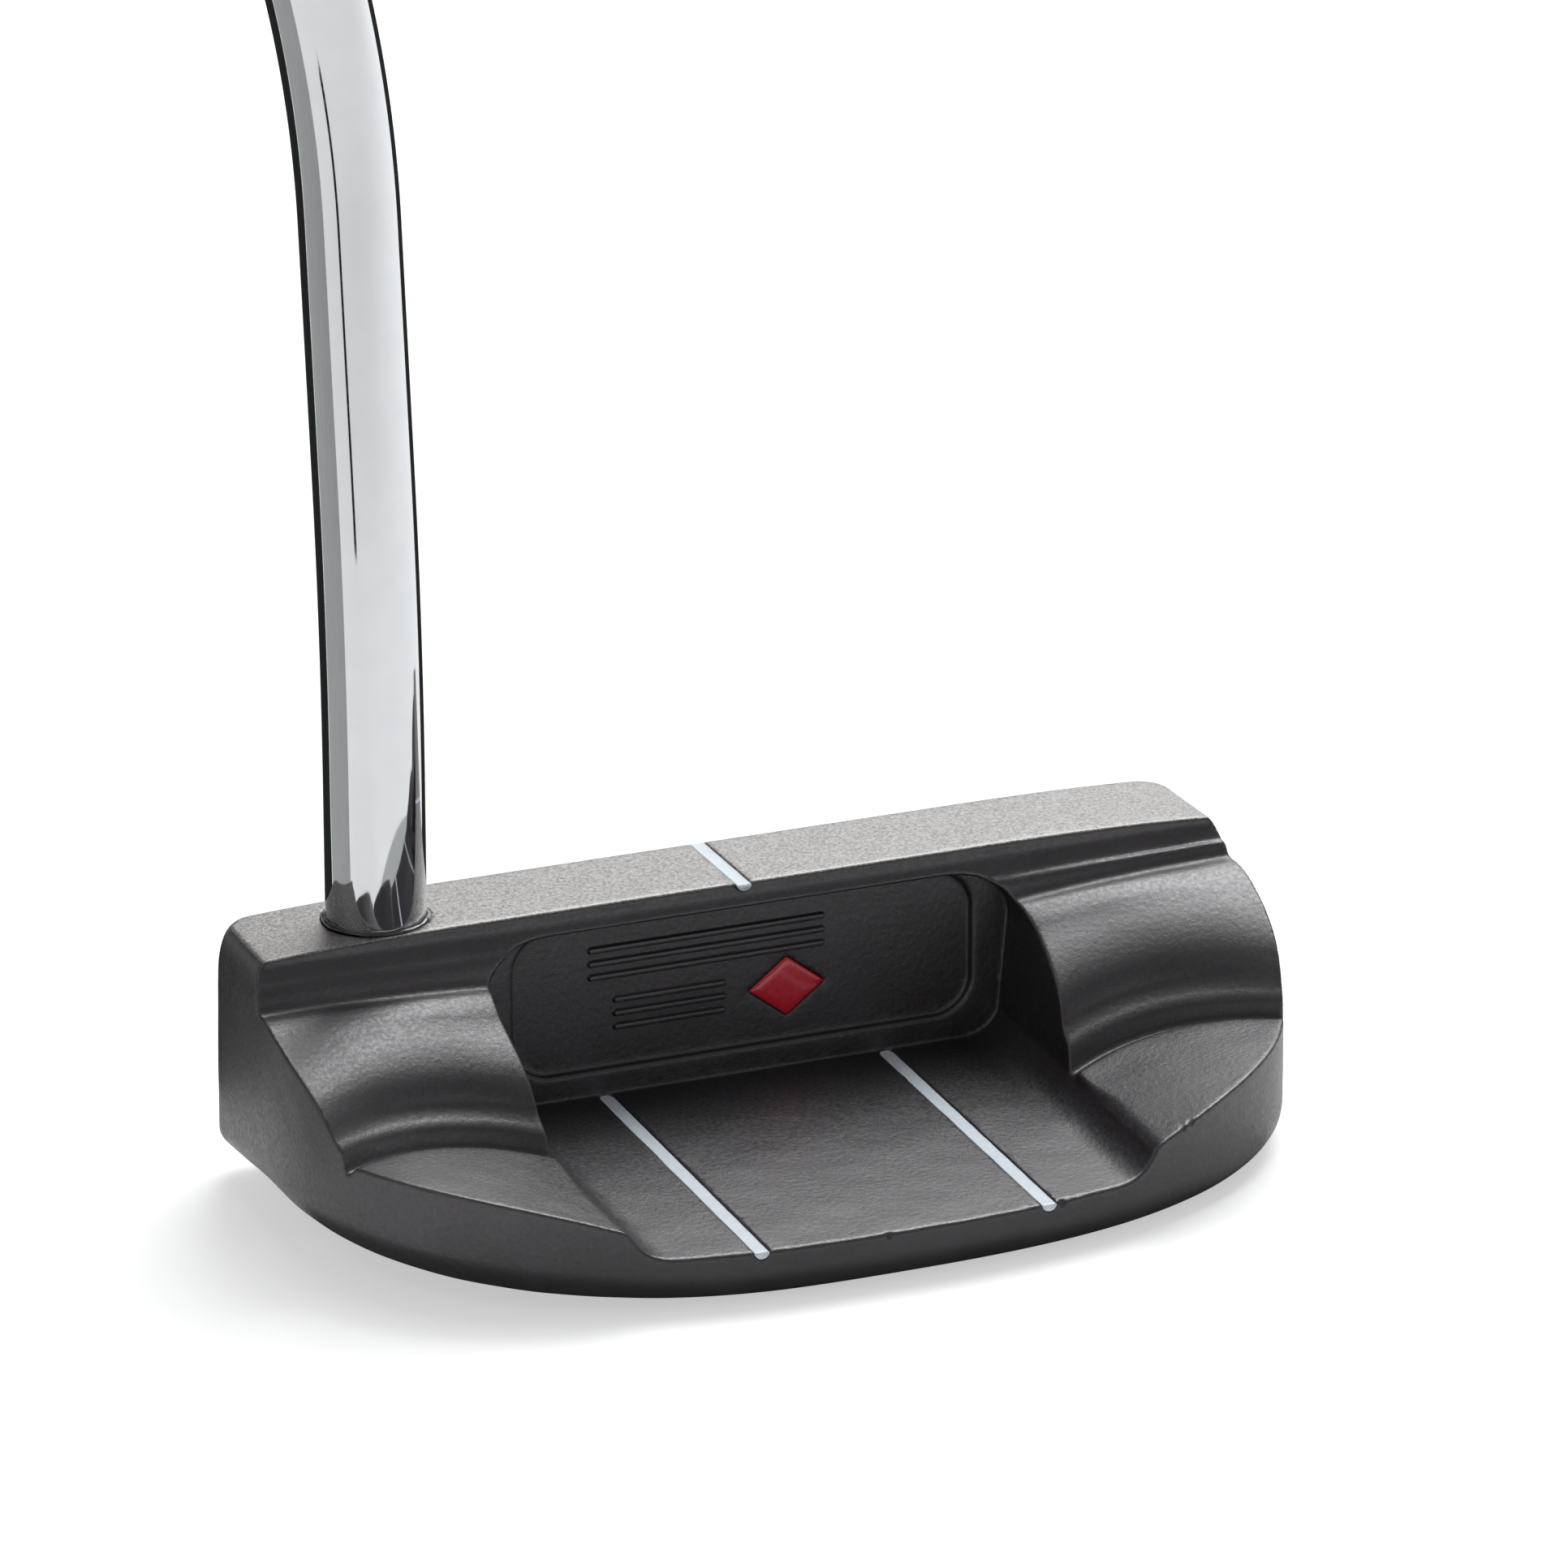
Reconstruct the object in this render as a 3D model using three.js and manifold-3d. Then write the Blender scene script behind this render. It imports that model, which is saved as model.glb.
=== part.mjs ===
// A right-handed mid-mallet putter: cast head, double-bend steel shaft and rubber grip.
// Millimetres, +Z up. The origin is the centre of the flat of the sole, which rests on the ground.
// +X points to the toe, -X to the heel, and +Y out of the strike face, along the target line.

import * as THREE from 'three';
import { mergeVertices } from 'three/addons/utils/BufferGeometryUtils.js';
import Module from 'manifold-3d';

const wasm = await Module();
wasm.setup();

// ---------------------------------------------------------------- driving dimensions

// Head
const HEAD_HALF_WIDTH = 49;      // from the sight line's plane to the toe
const HEEL_HALF_WIDTH = 49.5;    // and to the heel
const TOP_Z = 25.4;              // the top line above the sole
const FACE_TOP_Y = 24;           // upper edge of the strike face
const REAR_Y = -25.7;            // rearmost point of the skirt
const LOFT = THREE.MathUtils.degToRad(3);
const TOP_LINE_DEPTH = 11.4;
const FACE_CORNER_R = 4;         // plan radius where the face meets heel and toe
const FACE_CORNER_INSET = 0.35;  // the head is this much narrower there, on each side
const FACE_STOCK = 1.3;          // metal in front of the face that the loft plane mills away
const WIDEST_Y = 8;              // where the sides stop and the round rear begins
const REAR_ROUNDNESS = 2.5;      // exponent of the rear's superellipse
const SOLE_EDGE_R = 3.4;
const FACE_EDGE_SHARE = 0.45;    // the sole's edge rounding shrinks to this share at the face
const TOP_EDGE_INSET = 1.5;      // the sides roll in over the top edge, low and wide
const TOP_EDGE_DROP = 4.2;
const SIDE_DRAFT = 0.3;          // how far the sides lean in from the widest level to the top
const WIDEST_Z = 6;
const SOLE_FLAT_HEEL_X = -9;     // the sole is flat between these, and cambered outside
const SOLE_FLAT_TOE_X = 18;
const SOLE_CAMBER_HEEL_R = 240;  // the heel is relieved more than the toe
const SOLE_CAMBER_TOE_R = 900;
const TOP_CROWN_START = 28;      // the top line starts to fall here, towards heel and toe
const TOP_CROWN_R = 330;

// Cavity between the two humps
const CAVITY_HALF_WIDTH = 26.9;  // at shoulder height
const CAVITY_FOOT_HALF_WIDTH = 26;
const CAVITY_FOOT_RISE = 2.4;    // the foot of each side wall slopes in over this height
const CAVITY_FOOT_SAG = 0.8;     // how far the foot's curve hangs out towards the wall
const CAVITY_LIP_DROP = 2.4;     // lip below the top line
const CAVITY_SHOULDER_DROP = 7.2;
const CAVITY_CORNER_WIDTH = 6;
const CAVITY_FRONT_Y = FACE_TOP_Y - 10.9;
const FLOOR_Z = TOP_Z - 19.3;    // floor at the cavity's front wall
const FLOOR_RUN_PAST = 10;       // the floor's plane is carried this far past the rear rim
const FLOOR_FALL = 1.2;          // how much lower that plane is there
const FLOOR_HALF_WIDTH = 22;
const POCKET_HALF_WIDTH = 23.2;
const POCKET_BOTTOM_Z = TOP_Z - 16.8;
const POCKET_DEPTH = 0.8;
const POCKET_CORNER_R = 3.8;
const POCKET_WALL_Y = CAVITY_FRONT_Y + POCKET_DEPTH;

// Paint lines and the raised ornament in the pocket
const LINE_R = 0.72;             // radius of the ball-nosed groove, half its width
const LINE_X = 14.2;
const SIGHT_LINE_X = -0.35;
const LINE_FRONT_Y = 13.1;
const FILL_CLEARANCE = 0.04;
const FILL_DROP = 0.12;          // paint surface below the metal
const FILL_REAR_INSET = 0.8;     // a floor line's paint stops this far from the rear rim
const SIGHT_FILL_INSET = 0.1;    // the sight line's paint stops this far from its groove's ends
const RIB_HEIGHT = 0.35;
const RIB_THICKNESS = 0.55;
const RIB_CORNER_R = 0.25;
const RIB_PITCH = 1.35;
const RIB_ROWS = [
  { left: -15.5, right: 8.5, middle: TOP_Z - 6.4 },
  { left: -13, right: -1.5, middle: TOP_Z - 11.6 },
];
const LOZENGE_HALF_WIDTH = 3.9;
const LOZENGE_HALF_HEIGHT = 3;
const LOZENGE_X = 4.6;
const LOZENGE_Z = TOP_Z - 11.6;
const ENAMEL_DEPTH = 0.5;

// Shaft
const TIP_X = -34.8;
const TIP_Y = FACE_TOP_Y - 6.1;
const TIP_R = 4.7;               // 0.370 inch tip
const BUTT_R = 7.37;             // 0.580 inch butt
const SHAFT_WALL = 0.5;
const BORE_R = 4.98;
const BORE_DEPTH = 18;
const END_GAP = 0.3;             // between the ends of pieces that meet end to end
const TIP_Z = TOP_Z - BORE_DEPTH + END_GAP;
const EPOXY_BOTTOM_Z = TIP_Z + END_GAP;
const BEAD_REACH = 0.3;          // the epoxy bead reaches this far out over the top line
const BEAD_HEIGHT = 0.5;
const BEAD_SHOULDER = 0.25;
const LOWER_BEND_HEIGHT = 28.2;  // bend corners above the top line
const LOWER_BEND_REACH = 15.4;   // from a bend's corner to where the tube is straight
const FORWARD_LEAN = THREE.MathUtils.degToRad(6.1);
const BEND_SPACING = 57;
const UPPER_BEND_REACH = 19.2;
const LIE_LEAN = THREE.MathUtils.degToRad(20);
const CLUB_LENGTH = 889;         // 35 inches, along the shaft's line from the ground to the butt
const STEP_COUNT = 10;
const FIRST_STEP = 560;          // distances down from the butt end
const LAST_STEP = 300;
const STEP_TAPER = 1.6;

// Grip
const GRIP_LENGTH = 267;
const GRIP_MOUTH = { halfWidth: 10.4, front: 9.6, back: 10.2 };
const GRIP_BUTT = { halfWidth: 13.6, front: 11.2, back: 15.4 };
const GRIP_FRONT_POWER = 2 / 3.6; // the front is nearly flat, with rounded corners
const GRIP_BACK_POWER = 0.92;    // the back is nearly round
const GRIP_MOUTH_BEVEL = 0.8;
const TAPE_LENGTH = 255;
const TAPE_THICKNESS = 0.2;
const SLIP = 0.05;               // clearance between nested sleeves
const CAP_THICKNESS = 5;
const CAP_EDGE = [               // the cap's rounded edge: distances below its end, and inwards
  { below: CAP_THICKNESS, inset: 0 },
  { below: 1.6, inset: 0 },
  { below: 0.4, inset: 0.6 },
  { below: 0, inset: 1.8 },
];
const VENT_R = 1.2;

// Cutting tools
const OVERCUT = 0.5;             // how far a cutter starts outside the surface that it cuts
const OVERRUN = 3;               // how far a long cutter runs past the metal

// Facets
const OUTLINE_SEGMENTS = 112;
const TUBE_SEGMENTS = 24;
const GRIP_SEGMENTS = 28;
const SLIVER = 0.004;            // facets of the head thinner than this are merged away

// ---------------------------------------------------------------- small helpers

const point = (x, y, z) => new THREE.Vector3(x, y, z);

// Joins rings of equal length into one closed surface. Each ring runs anticlockwise seen from the
// last ring. Ends are closed by a fan, or the last ring is joined back to the first.
function loft(rings, joined = false) {
  const count = rings[0].length;
  const positions = rings.flat().flatMap((p) => [p.x, p.y, p.z]);
  const faces = [];
  const bands = joined ? rings.length : rings.length - 1;
  for (let ring = 0; ring < bands; ring++) {
    const lower = ring * count;
    const upper = ((ring + 1) % rings.length) * count;
    for (let i = 0; i < count; i++) {
      const next = (i + 1) % count;
      faces.push(lower + i, lower + next, upper + next);
      faces.push(lower + i, upper + next, upper + i);
    }
  }
  if (!joined) {
    const last = (rings.length - 1) * count;
    const tip = rings.length * count;
    for (const ring of [rings[0], rings.at(-1)]) {
      const middle = ring.reduce((sum, p) => sum.add(p), point(0, 0, 0)).divideScalar(count);
      positions.push(middle.x, middle.y, middle.z);
    }
    for (let i = 0; i < count; i++) {
      const next = (i + 1) % count;
      faces.push(tip, next, i);
      faces.push(tip + 1, last + i, last + next);
    }
  }
  const geometry = new THREE.BufferGeometry();
  geometry.setAttribute('position', new THREE.Float32BufferAttribute(positions, 3));
  geometry.setIndex(faces);
  return geometry;
}

function solid(geometry) {
  const bare = geometry.clone();
  bare.deleteAttribute('normal');
  bare.deleteAttribute('uv');
  const merged = mergeVertices(bare, 1e-4);
  return new wasm.Manifold(new wasm.Mesh({
    numProp: 3,
    vertProperties: Float32Array.from(merged.attributes.position.array),
    triVerts: Uint32Array.from(merged.index.array),
  }));
}

function geometryOf(manifold) {
  const mesh = manifold.getMesh();
  const geometry = new THREE.BufferGeometry();
  geometry.setAttribute('position', new THREE.BufferAttribute(mesh.vertProperties, 3));
  geometry.setIndex(new THREE.BufferAttribute(mesh.triVerts, 1));
  geometry.computeVertexNormals();
  return geometry;
}

function piece(name, geometry, color, roughness, metalness) {
  const material = new THREE.MeshStandardMaterial({ color, roughness, metalness });
  const mesh = new THREE.Mesh(geometry, material);
  mesh.name = name;
  return mesh;
}

// Extrudes an outline drawn in X and Z from one Y to a larger one.
function extrudeAlongY(shape, fromY, toY, curveSegments = 6) {
  const geometry = new THREE.ExtrudeGeometry(shape, {
    depth: toY - fromY,
    bevelEnabled: false,
    curveSegments,
  });
  return geometry.rotateX(Math.PI / 2).translate(0, toY, 0);
}

function roundedRectangle(left, bottom, right, top, radius) {
  const shape = new THREE.Shape();
  shape.moveTo(left + radius, bottom);
  shape.lineTo(right - radius, bottom);
  shape.absarc(right - radius, bottom + radius, radius, -Math.PI / 2, 0);
  shape.lineTo(right, top - radius);
  shape.absarc(right - radius, top - radius, radius, 0, Math.PI / 2);
  shape.lineTo(left + radius, top);
  shape.absarc(left + radius, top - radius, radius, Math.PI / 2, Math.PI);
  shape.lineTo(left, bottom + radius);
  shape.absarc(left + radius, bottom + radius, radius, Math.PI, 1.5 * Math.PI);
  return shape;
}

// ---------------------------------------------------------------- head: the blank

// The plan outline at its widest level: rounded face corners, nearly straight sides and a
// superellipse round the rear. The front runs past the face, which is milled flat afterwards.
function planOutline() {
  const shape = new THREE.Shape();
  const cornerX = HEAD_HALF_WIDTH - FACE_CORNER_INSET - FACE_CORNER_R;
  const cornerY = FACE_TOP_Y + FACE_STOCK - FACE_CORNER_R;
  shape.moveTo(cornerX, cornerY + FACE_CORNER_R);
  shape.lineTo(-cornerX, cornerY + FACE_CORNER_R);
  shape.absarc(-cornerX, cornerY, FACE_CORNER_R, Math.PI / 2, Math.PI);
  shape.lineTo(-HEAD_HALF_WIDTH, WIDEST_Y);
  const rearSteps = 40;
  for (let i = 1; i < rearSteps; i++) {
    const angle = Math.PI + (Math.PI * i) / rearSteps;
    const c = Math.cos(angle);
    const s = Math.sin(angle);
    const x = Math.sign(c) * Math.abs(c) ** (2 / REAR_ROUNDNESS) * HEAD_HALF_WIDTH;
    const y = WIDEST_Y - Math.abs(s) ** (2 / REAR_ROUNDNESS) * (WIDEST_Y - REAR_Y);
    shape.lineTo(x, y);
  }
  shape.lineTo(HEAD_HALF_WIDTH, WIDEST_Y);
  shape.absarc(cornerX, cornerY, FACE_CORNER_R, 0, Math.PI / 2);
  const points = shape.getSpacedPoints(OUTLINE_SEGMENTS).slice(0, OUTLINE_SEGMENTS);
  for (const p of points) {
    if (p.x < 0) p.x *= HEEL_HALF_WIDTH / HEAD_HALF_WIDTH;
  }
  return points;
}

const outline = planOutline();

// The outline moved inwards by a distance, square to its own edge. Towards the face the distance
// changes to faceShare of itself.
function insetOutline(distance, faceShare) {
  return outline.map((p, i) => {
    const before = outline.at(i - 1);
    const after = outline[(i + 1) % outline.length];
    const along = new THREE.Vector2().subVectors(after, before).normalize();
    const nearFace = THREE.MathUtils.smoothstep(p.y, WIDEST_Y, FACE_TOP_Y);
    const step = distance * THREE.MathUtils.lerp(1, faceShare, nearFace);
    return new THREE.Vector2(p.x - along.y * step, p.y + along.x * step);
  });
}

function soleCamber(x) {
  const heelward = Math.max(SOLE_FLAT_HEEL_X - x, 0);
  const toeward = Math.max(x - SOLE_FLAT_TOE_X, 0);
  return heelward ** 2 / (2 * SOLE_CAMBER_HEEL_R) + toeward ** 2 / (2 * SOLE_CAMBER_TOE_R);
}

const topCrown = (x) => Math.max(Math.abs(x) - TOP_CROWN_START, 0) ** 2 / (2 * TOP_CROWN_R);

function headBlank() {
  const rings = [];
  const ring = (inset, z, scale = 1) => {
    const nearSole = z <= SOLE_EDGE_R;
    return insetOutline(inset, nearSole ? FACE_EDGE_SHARE : 1).map((p) => {
      const x = p.x * scale;
      const camber = nearSole ? soleCamber(x) : 0;
      const crown = z >= TOP_Z - TOP_EDGE_DROP ? topCrown(x) : 0;
      return point(x, p.y * scale, z + camber - crown);
    });
  };
  for (const scale of [0.3, 0.5, 0.66, 0.82]) rings.push(ring(SOLE_EDGE_R, 0, scale));
  const roundSteps = 5;
  for (let i = 0; i <= roundSteps; i++) {
    const angle = (Math.PI / 2) * (i / roundSteps);
    rings.push(ring(SOLE_EDGE_R * (1 - Math.sin(angle)), SOLE_EDGE_R * (1 - Math.cos(angle))));
  }
  const draft = (z) => SIDE_DRAFT * (Math.max(z - WIDEST_Z, 0) / (TOP_Z - WIDEST_Z)) ** 2;
  const midHeight = TOP_Z / 2;
  rings.push(ring(draft(midHeight), midHeight));
  const topSteps = 4;
  for (let i = 0; i <= topSteps; i++) {
    const angle = (Math.PI / 2) * (i / topSteps);
    const z = TOP_Z - TOP_EDGE_DROP * (1 - Math.sin(angle));
    rings.push(ring(draft(z) + TOP_EDGE_INSET * (1 - Math.cos(angle)), z));
  }
  const topInset = draft(TOP_Z) + TOP_EDGE_INSET;
  for (const scale of [0.85, 0.6]) rings.push(ring(topInset, TOP_Z, scale));
  return solid(loft(rings));
}

// Everything in front of the lofted face plane.
function faceCutter() {
  const depth = 10;
  const width = 2.4 * HEAD_HALF_WIDTH;
  const height = 80;
  const box = new THREE.BoxGeometry(width, depth, height).translate(0, depth / 2, 0);
  box.applyMatrix4(new THREE.Matrix4().makeShear(0, 0, 0, 0, 0, -Math.tan(LOFT)));
  return solid(box.translate(0, FACE_TOP_Y, TOP_Z));
}

// ---------------------------------------------------------------- head: the two shoulders

// The stepped side-view profile behind the top line, at the outer end of a shoulder.
// back: distance behind the top edge of the face. drop: depth below the top line.
// fall: how much lower it lies at the cavity's edge, because each shoulder is crowned.
// follow: 1 where the profile follows the curved rear groove, 0 where it stays straight.
const SHOULDER_PROFILE = [
  { back: TOP_LINE_DEPTH, drop: -OVERRUN, fall: 0, follow: 0 },
  { back: TOP_LINE_DEPTH, drop: 0, fall: 0, follow: 0 },
  { back: 11.9, drop: 1.3, fall: 0.1, follow: 0 },
  { back: 12.8, drop: 2.8, fall: 0.4, follow: 0 },
  { back: 13.2, drop: 4.2, fall: 0.8, follow: 0 },
  { back: 13.8, drop: 4.5, fall: 0.95, follow: 0 },
  { back: 14.6, drop: 4.15, fall: 1.05, follow: 0 },
  { back: 16, drop: 4.5, fall: 1.4, follow: 0.1 },
  { back: 19, drop: 5.4, fall: 2, follow: 0.25 },
  { back: 22.8, drop: 6.8, fall: 2.2, follow: 0.45 },
  { back: 26, drop: 8.4, fall: 2.3, follow: 0.65 },
  { back: 28.2, drop: 10.1, fall: 2.4, follow: 0.85 },
  { back: 29.9, drop: 12.2, fall: 2.75, follow: 1 },
  { back: 30.4, drop: 13.5, fall: 2.9, follow: 1 },
  { back: 31.2, drop: 14, fall: 2.95, follow: 1 },
  { back: 32.1, drop: 13.95, fall: 3.1, follow: 1 },
  { back: 32.8, drop: 13.5, fall: 3.2, follow: 1 },
  { back: 34.2, drop: 13.5, fall: 3.5, follow: 1 },
  { back: 56, drop: 13.8, fall: 3.9, follow: 0 },
];
const GROOVE_MIDDLE_X = 34;      // the rear groove is an arc, and bulges to the face here
const GROOVE_ARC_R = 20;
const SHOULDER_LEAN = 0.5;       // the front groove rises this much to the toe, and falls to the heel
const LEAN_GROWS = [12.4, 13.2]; // that lean sets in and dies out over these stretches behind the face
const LEAN_FADES = [16, 24];

function grooveShift(x) {
  const bend = (at) => ((at - GROOVE_MIDDLE_X) ** 2) / (2 * GROOVE_ARC_R);
  return bend(HEAD_HALF_WIDTH) - bend(Math.max(Math.abs(x), CAVITY_FOOT_HALF_WIDTH));
}

// How far a shoulder has fallen at x: 0 at its outer end, 1 at the cavity.
function crownShare(x) {
  const inward = HEAD_HALF_WIDTH - Math.max(Math.abs(x), CAVITY_FOOT_HALF_WIDTH);
  return Math.max(inward / (HEAD_HALF_WIDTH - CAVITY_FOOT_HALF_WIDTH), 0) ** 2;
}

// How much higher the front groove lies at x, fading out over the shoulder behind it.
function grooveLean(x, back) {
  const behindWall = THREE.MathUtils.smoothstep(back, ...LEAN_GROWS);
  const fading = 1 - THREE.MathUtils.smoothstep(back, ...LEAN_FADES);
  return ((SHOULDER_LEAN * x) / HEAD_HALF_WIDTH) * behindWall * fading;
}

function shoulderCutter() {
  const reach = HEAD_HALF_WIDTH + 2 * OVERRUN;
  const halfStations = [reach, 46, 42, 38, 34, 30, CAVITY_FOOT_HALF_WIDTH, 10];
  const stations = [...halfStations, ...halfStations.map((x) => -x).reverse()];
  const roof = TOP_Z + OVERRUN;
  const rings = stations.map((x) => {
    const shift = grooveShift(x);
    const share = crownShare(x);
    const section = SHOULDER_PROFILE.map(({ back, drop, fall, follow }) => point(
      x,
      FACE_TOP_Y - back + follow * shift,
      TOP_Z - drop - fall * share + grooveLean(x, back),
    ));
    section.push(point(x, section.at(-1).y, roof));
    return section;
  });
  return solid(loft(rings));
}

// ---------------------------------------------------------------- head: cavity and pocket

// The cavity's section, seen from behind: wide lip with round corners, steep sides, a sloped
// foot and a flat floor.
function cavitySection(y, floorZ) {
  const footZ = floorZ + CAVITY_FOOT_RISE;
  const shoulderZ = TOP_Z - CAVITY_SHOULDER_DROP;
  const cornerHeight = CAVITY_SHOULDER_DROP - CAVITY_LIP_DROP;
  const footMiddle = (FLOOR_HALF_WIDTH + CAVITY_FOOT_HALF_WIDTH) / 2 + CAVITY_FOOT_SAG;
  const cornerX = CAVITY_HALF_WIDTH - CAVITY_CORNER_WIDTH;
  const shape = new THREE.Shape();
  shape.moveTo(-FLOOR_HALF_WIDTH, floorZ);
  shape.lineTo(FLOOR_HALF_WIDTH, floorZ);
  shape.quadraticCurveTo(footMiddle, floorZ, CAVITY_FOOT_HALF_WIDTH, footZ);
  shape.lineTo(CAVITY_HALF_WIDTH, shoulderZ);
  shape.absellipse(cornerX, shoulderZ, CAVITY_CORNER_WIDTH, cornerHeight, 0, Math.PI / 2);
  shape.lineTo(-cornerX, TOP_Z - CAVITY_LIP_DROP);
  shape.absellipse(-cornerX, shoulderZ, CAVITY_CORNER_WIDTH, cornerHeight, Math.PI / 2, Math.PI);
  shape.lineTo(-CAVITY_FOOT_HALF_WIDTH, footZ);
  shape.quadraticCurveTo(-footMiddle, floorZ, -FLOOR_HALF_WIDTH, floorZ);
  return shape.getPoints(6).slice(0, -1).map((p) => point(p.x, y, p.y));
}

function cavityCutter() {
  const rear = cavitySection(REAR_Y - FLOOR_RUN_PAST, FLOOR_Z - FLOOR_FALL);
  const front = cavitySection(CAVITY_FRONT_Y, FLOOR_Z);
  return solid(loft([front, rear]));
}

function pocketCutter() {
  const shape = roundedRectangle(
    -POCKET_HALF_WIDTH,
    POCKET_BOTTOM_Z,
    POCKET_HALF_WIDTH,
    TOP_Z - CAVITY_LIP_DROP,
    POCKET_CORNER_R,
  );
  return solid(extrudeAlongY(shape, CAVITY_FRONT_Y - OVERCUT, POCKET_WALL_Y));
}

// ---------------------------------------------------------------- head: lines and ornament

// A round-bottomed groove along Y, centred on the surface that it is cut in.
function grooveTool(radius, fromY, toY, frontDome) {
  const length = toY - fromY;
  const bar = new THREE.CylinderGeometry(radius, radius, length, 16);
  bar.translate(0, (fromY + toY) / 2, 0);
  const tool = solid(bar);
  if (!frontDome) return tool;
  const dome = new THREE.SphereGeometry(radius, 16, 8).rotateX(Math.PI / 2).translate(0, toY, 0);
  return tool.add(solid(dome));
}

const FLOOR_SLOPE = FLOOR_FALL / (CAVITY_FRONT_Y - REAR_Y + FLOOR_RUN_PAST);

// Lays a tool that was made along Y onto the sloping floor at one side.
function onFloor(tool, x) {
  const angle = Math.atan(FLOOR_SLOPE);
  const degrees = THREE.MathUtils.radToDeg(angle);
  return tool.rotate([degrees, 0, 0]).translate([x, 0, FLOOR_Z - FLOOR_SLOPE * CAVITY_FRONT_Y]);
}

function floorLineTool(radius, x, rearY) {
  return onFloor(grooveTool(radius, rearY, LINE_FRONT_Y - LINE_R, true), x);
}

function sightLineTool(radius, rearY) {
  return grooveTool(radius, rearY, FACE_TOP_Y + OVERRUN, false).translate([SIGHT_LINE_X, 0, TOP_Z]);
}

// Two rows of three thin ribs, in place of lettering.
function pocketRibs() {
  const half = RIB_THICKNESS / 2;
  const ribs = [];
  for (const { left, right, middle } of RIB_ROWS) {
    for (const step of [-1, 0, 1]) {
      const z = middle + step * RIB_PITCH;
      const shape = roundedRectangle(left, z - half, right, z + half, RIB_CORNER_R);
      ribs.push(solid(extrudeAlongY(shape, POCKET_WALL_Y - RIB_HEIGHT, POCKET_WALL_Y + OVERCUT, 2)));
    }
  }
  return wasm.Manifold.union(ribs);
}

function lozenge(grow, fromY, toY) {
  const shape = new THREE.Shape();
  const width = LOZENGE_HALF_WIDTH + grow;
  const height = LOZENGE_HALF_HEIGHT + grow;
  shape.moveTo(-width, 0);
  shape.lineTo(0, -height);
  shape.lineTo(width, 0);
  shape.lineTo(0, height);
  return extrudeAlongY(shape, fromY, toY).translate(LOZENGE_X, 0, LOZENGE_Z);
}

// ---------------------------------------------------------------- head: assembled

function boreCutter(radius, fromZ, toZ) {
  const rod = new THREE.CylinderGeometry(radius, radius, toZ - fromZ, 2 * TUBE_SEGMENTS);
  rod.rotateX(Math.PI / 2).translate(TIP_X, TIP_Y, (fromZ + toZ) / 2);
  return solid(rod);
}

function headBody() {
  const cuts = [
    faceCutter(),
    shoulderCutter(),
    cavityCutter(),
    pocketCutter(),
    boreCutter(BORE_R, TOP_Z - BORE_DEPTH, TOP_Z + OVERRUN),
  ];
  const body = headBlank().subtract(wasm.Manifold.union(cuts)).add(pocketRibs());
  const lines = [
    sightLineTool(LINE_R, FACE_TOP_Y - TOP_LINE_DEPTH - OVERRUN),
    floorLineTool(LINE_R, -LINE_X, REAR_Y - OVERRUN),
    floorLineTool(LINE_R, LINE_X, REAR_Y - OVERRUN),
    solid(lozenge(0, POCKET_WALL_Y - OVERCUT, POCKET_WALL_Y + ENAMEL_DEPTH)),
  ];
  return body.subtract(wasm.Manifold.union(lines)).simplify(SLIVER);
}

// ---------------------------------------------------------------- paint fills

// A fill is the groove's own tool, a little thinner, with its top planed off below the metal.
function planed(tool, surfaceZ, slope) {
  const height = 2 * OVERRUN;
  const cover = new THREE.BoxGeometry(20, 200, height).translate(0, 0, height / 2);
  const lid = solid(cover).rotate([THREE.MathUtils.radToDeg(Math.atan(slope)), 0, 0]);
  return tool.subtract(lid.translate([0, 0, surfaceZ - FILL_DROP]));
}

function sightLineFill() {
  const radius = LINE_R - FILL_CLEARANCE;
  const rearY = FACE_TOP_Y - TOP_LINE_DEPTH - SIGHT_FILL_INSET;
  const bar = grooveTool(radius, rearY, FACE_TOP_Y - SIGHT_FILL_INSET, false);
  return planed(bar.translate([SIGHT_LINE_X, 0, TOP_Z]), TOP_Z, 0);
}

function floorLineFill(x) {
  const radius = LINE_R - FILL_CLEARANCE;
  const bar = grooveTool(radius, REAR_Y + FILL_REAR_INSET, LINE_FRONT_Y - LINE_R, true);
  return onFloor(planed(bar, 0, 0), x);
}

function pocketEnamel() {
  return lozenge(-FILL_CLEARANCE, POCKET_WALL_Y + FILL_DROP, POCKET_WALL_Y + ENAMEL_DEPTH - FILL_CLEARANCE);
}

// ---------------------------------------------------------------- shaft

const upward = point(0, 0, 1);
const forward = point(0, Math.sin(FORWARD_LEAN), Math.cos(FORWARD_LEAN));
const lieLine = point(-Math.sin(LIE_LEAN), 0, Math.cos(LIE_LEAN));
const tipPoint = point(TIP_X, TIP_Y, TIP_Z);
const lowerBend = point(TIP_X, TIP_Y, TOP_Z + LOWER_BEND_HEIGHT);
const upperBend = lowerBend.clone().addScaledVector(forward, BEND_SPACING);
const groundPoint = upperBend.clone().addScaledVector(lieLine, -upperBend.z / lieLine.z);
const buttPoint = groundPoint.clone().addScaledVector(lieLine, CLUB_LENGTH);
const shaftEnd = buttPoint.clone().addScaledVector(lieLine, -CAP_THICKNESS - END_GAP);

function bend(corner, from, to, reach) {
  return new THREE.QuadraticBezierCurve3(
    corner.clone().addScaledVector(from, -reach),
    corner,
    corner.clone().addScaledVector(to, reach),
  );
}

const lowerCurve = bend(lowerBend, upward, forward, LOWER_BEND_REACH);
const upperCurve = bend(upperBend, forward, lieLine, UPPER_BEND_REACH);

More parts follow.
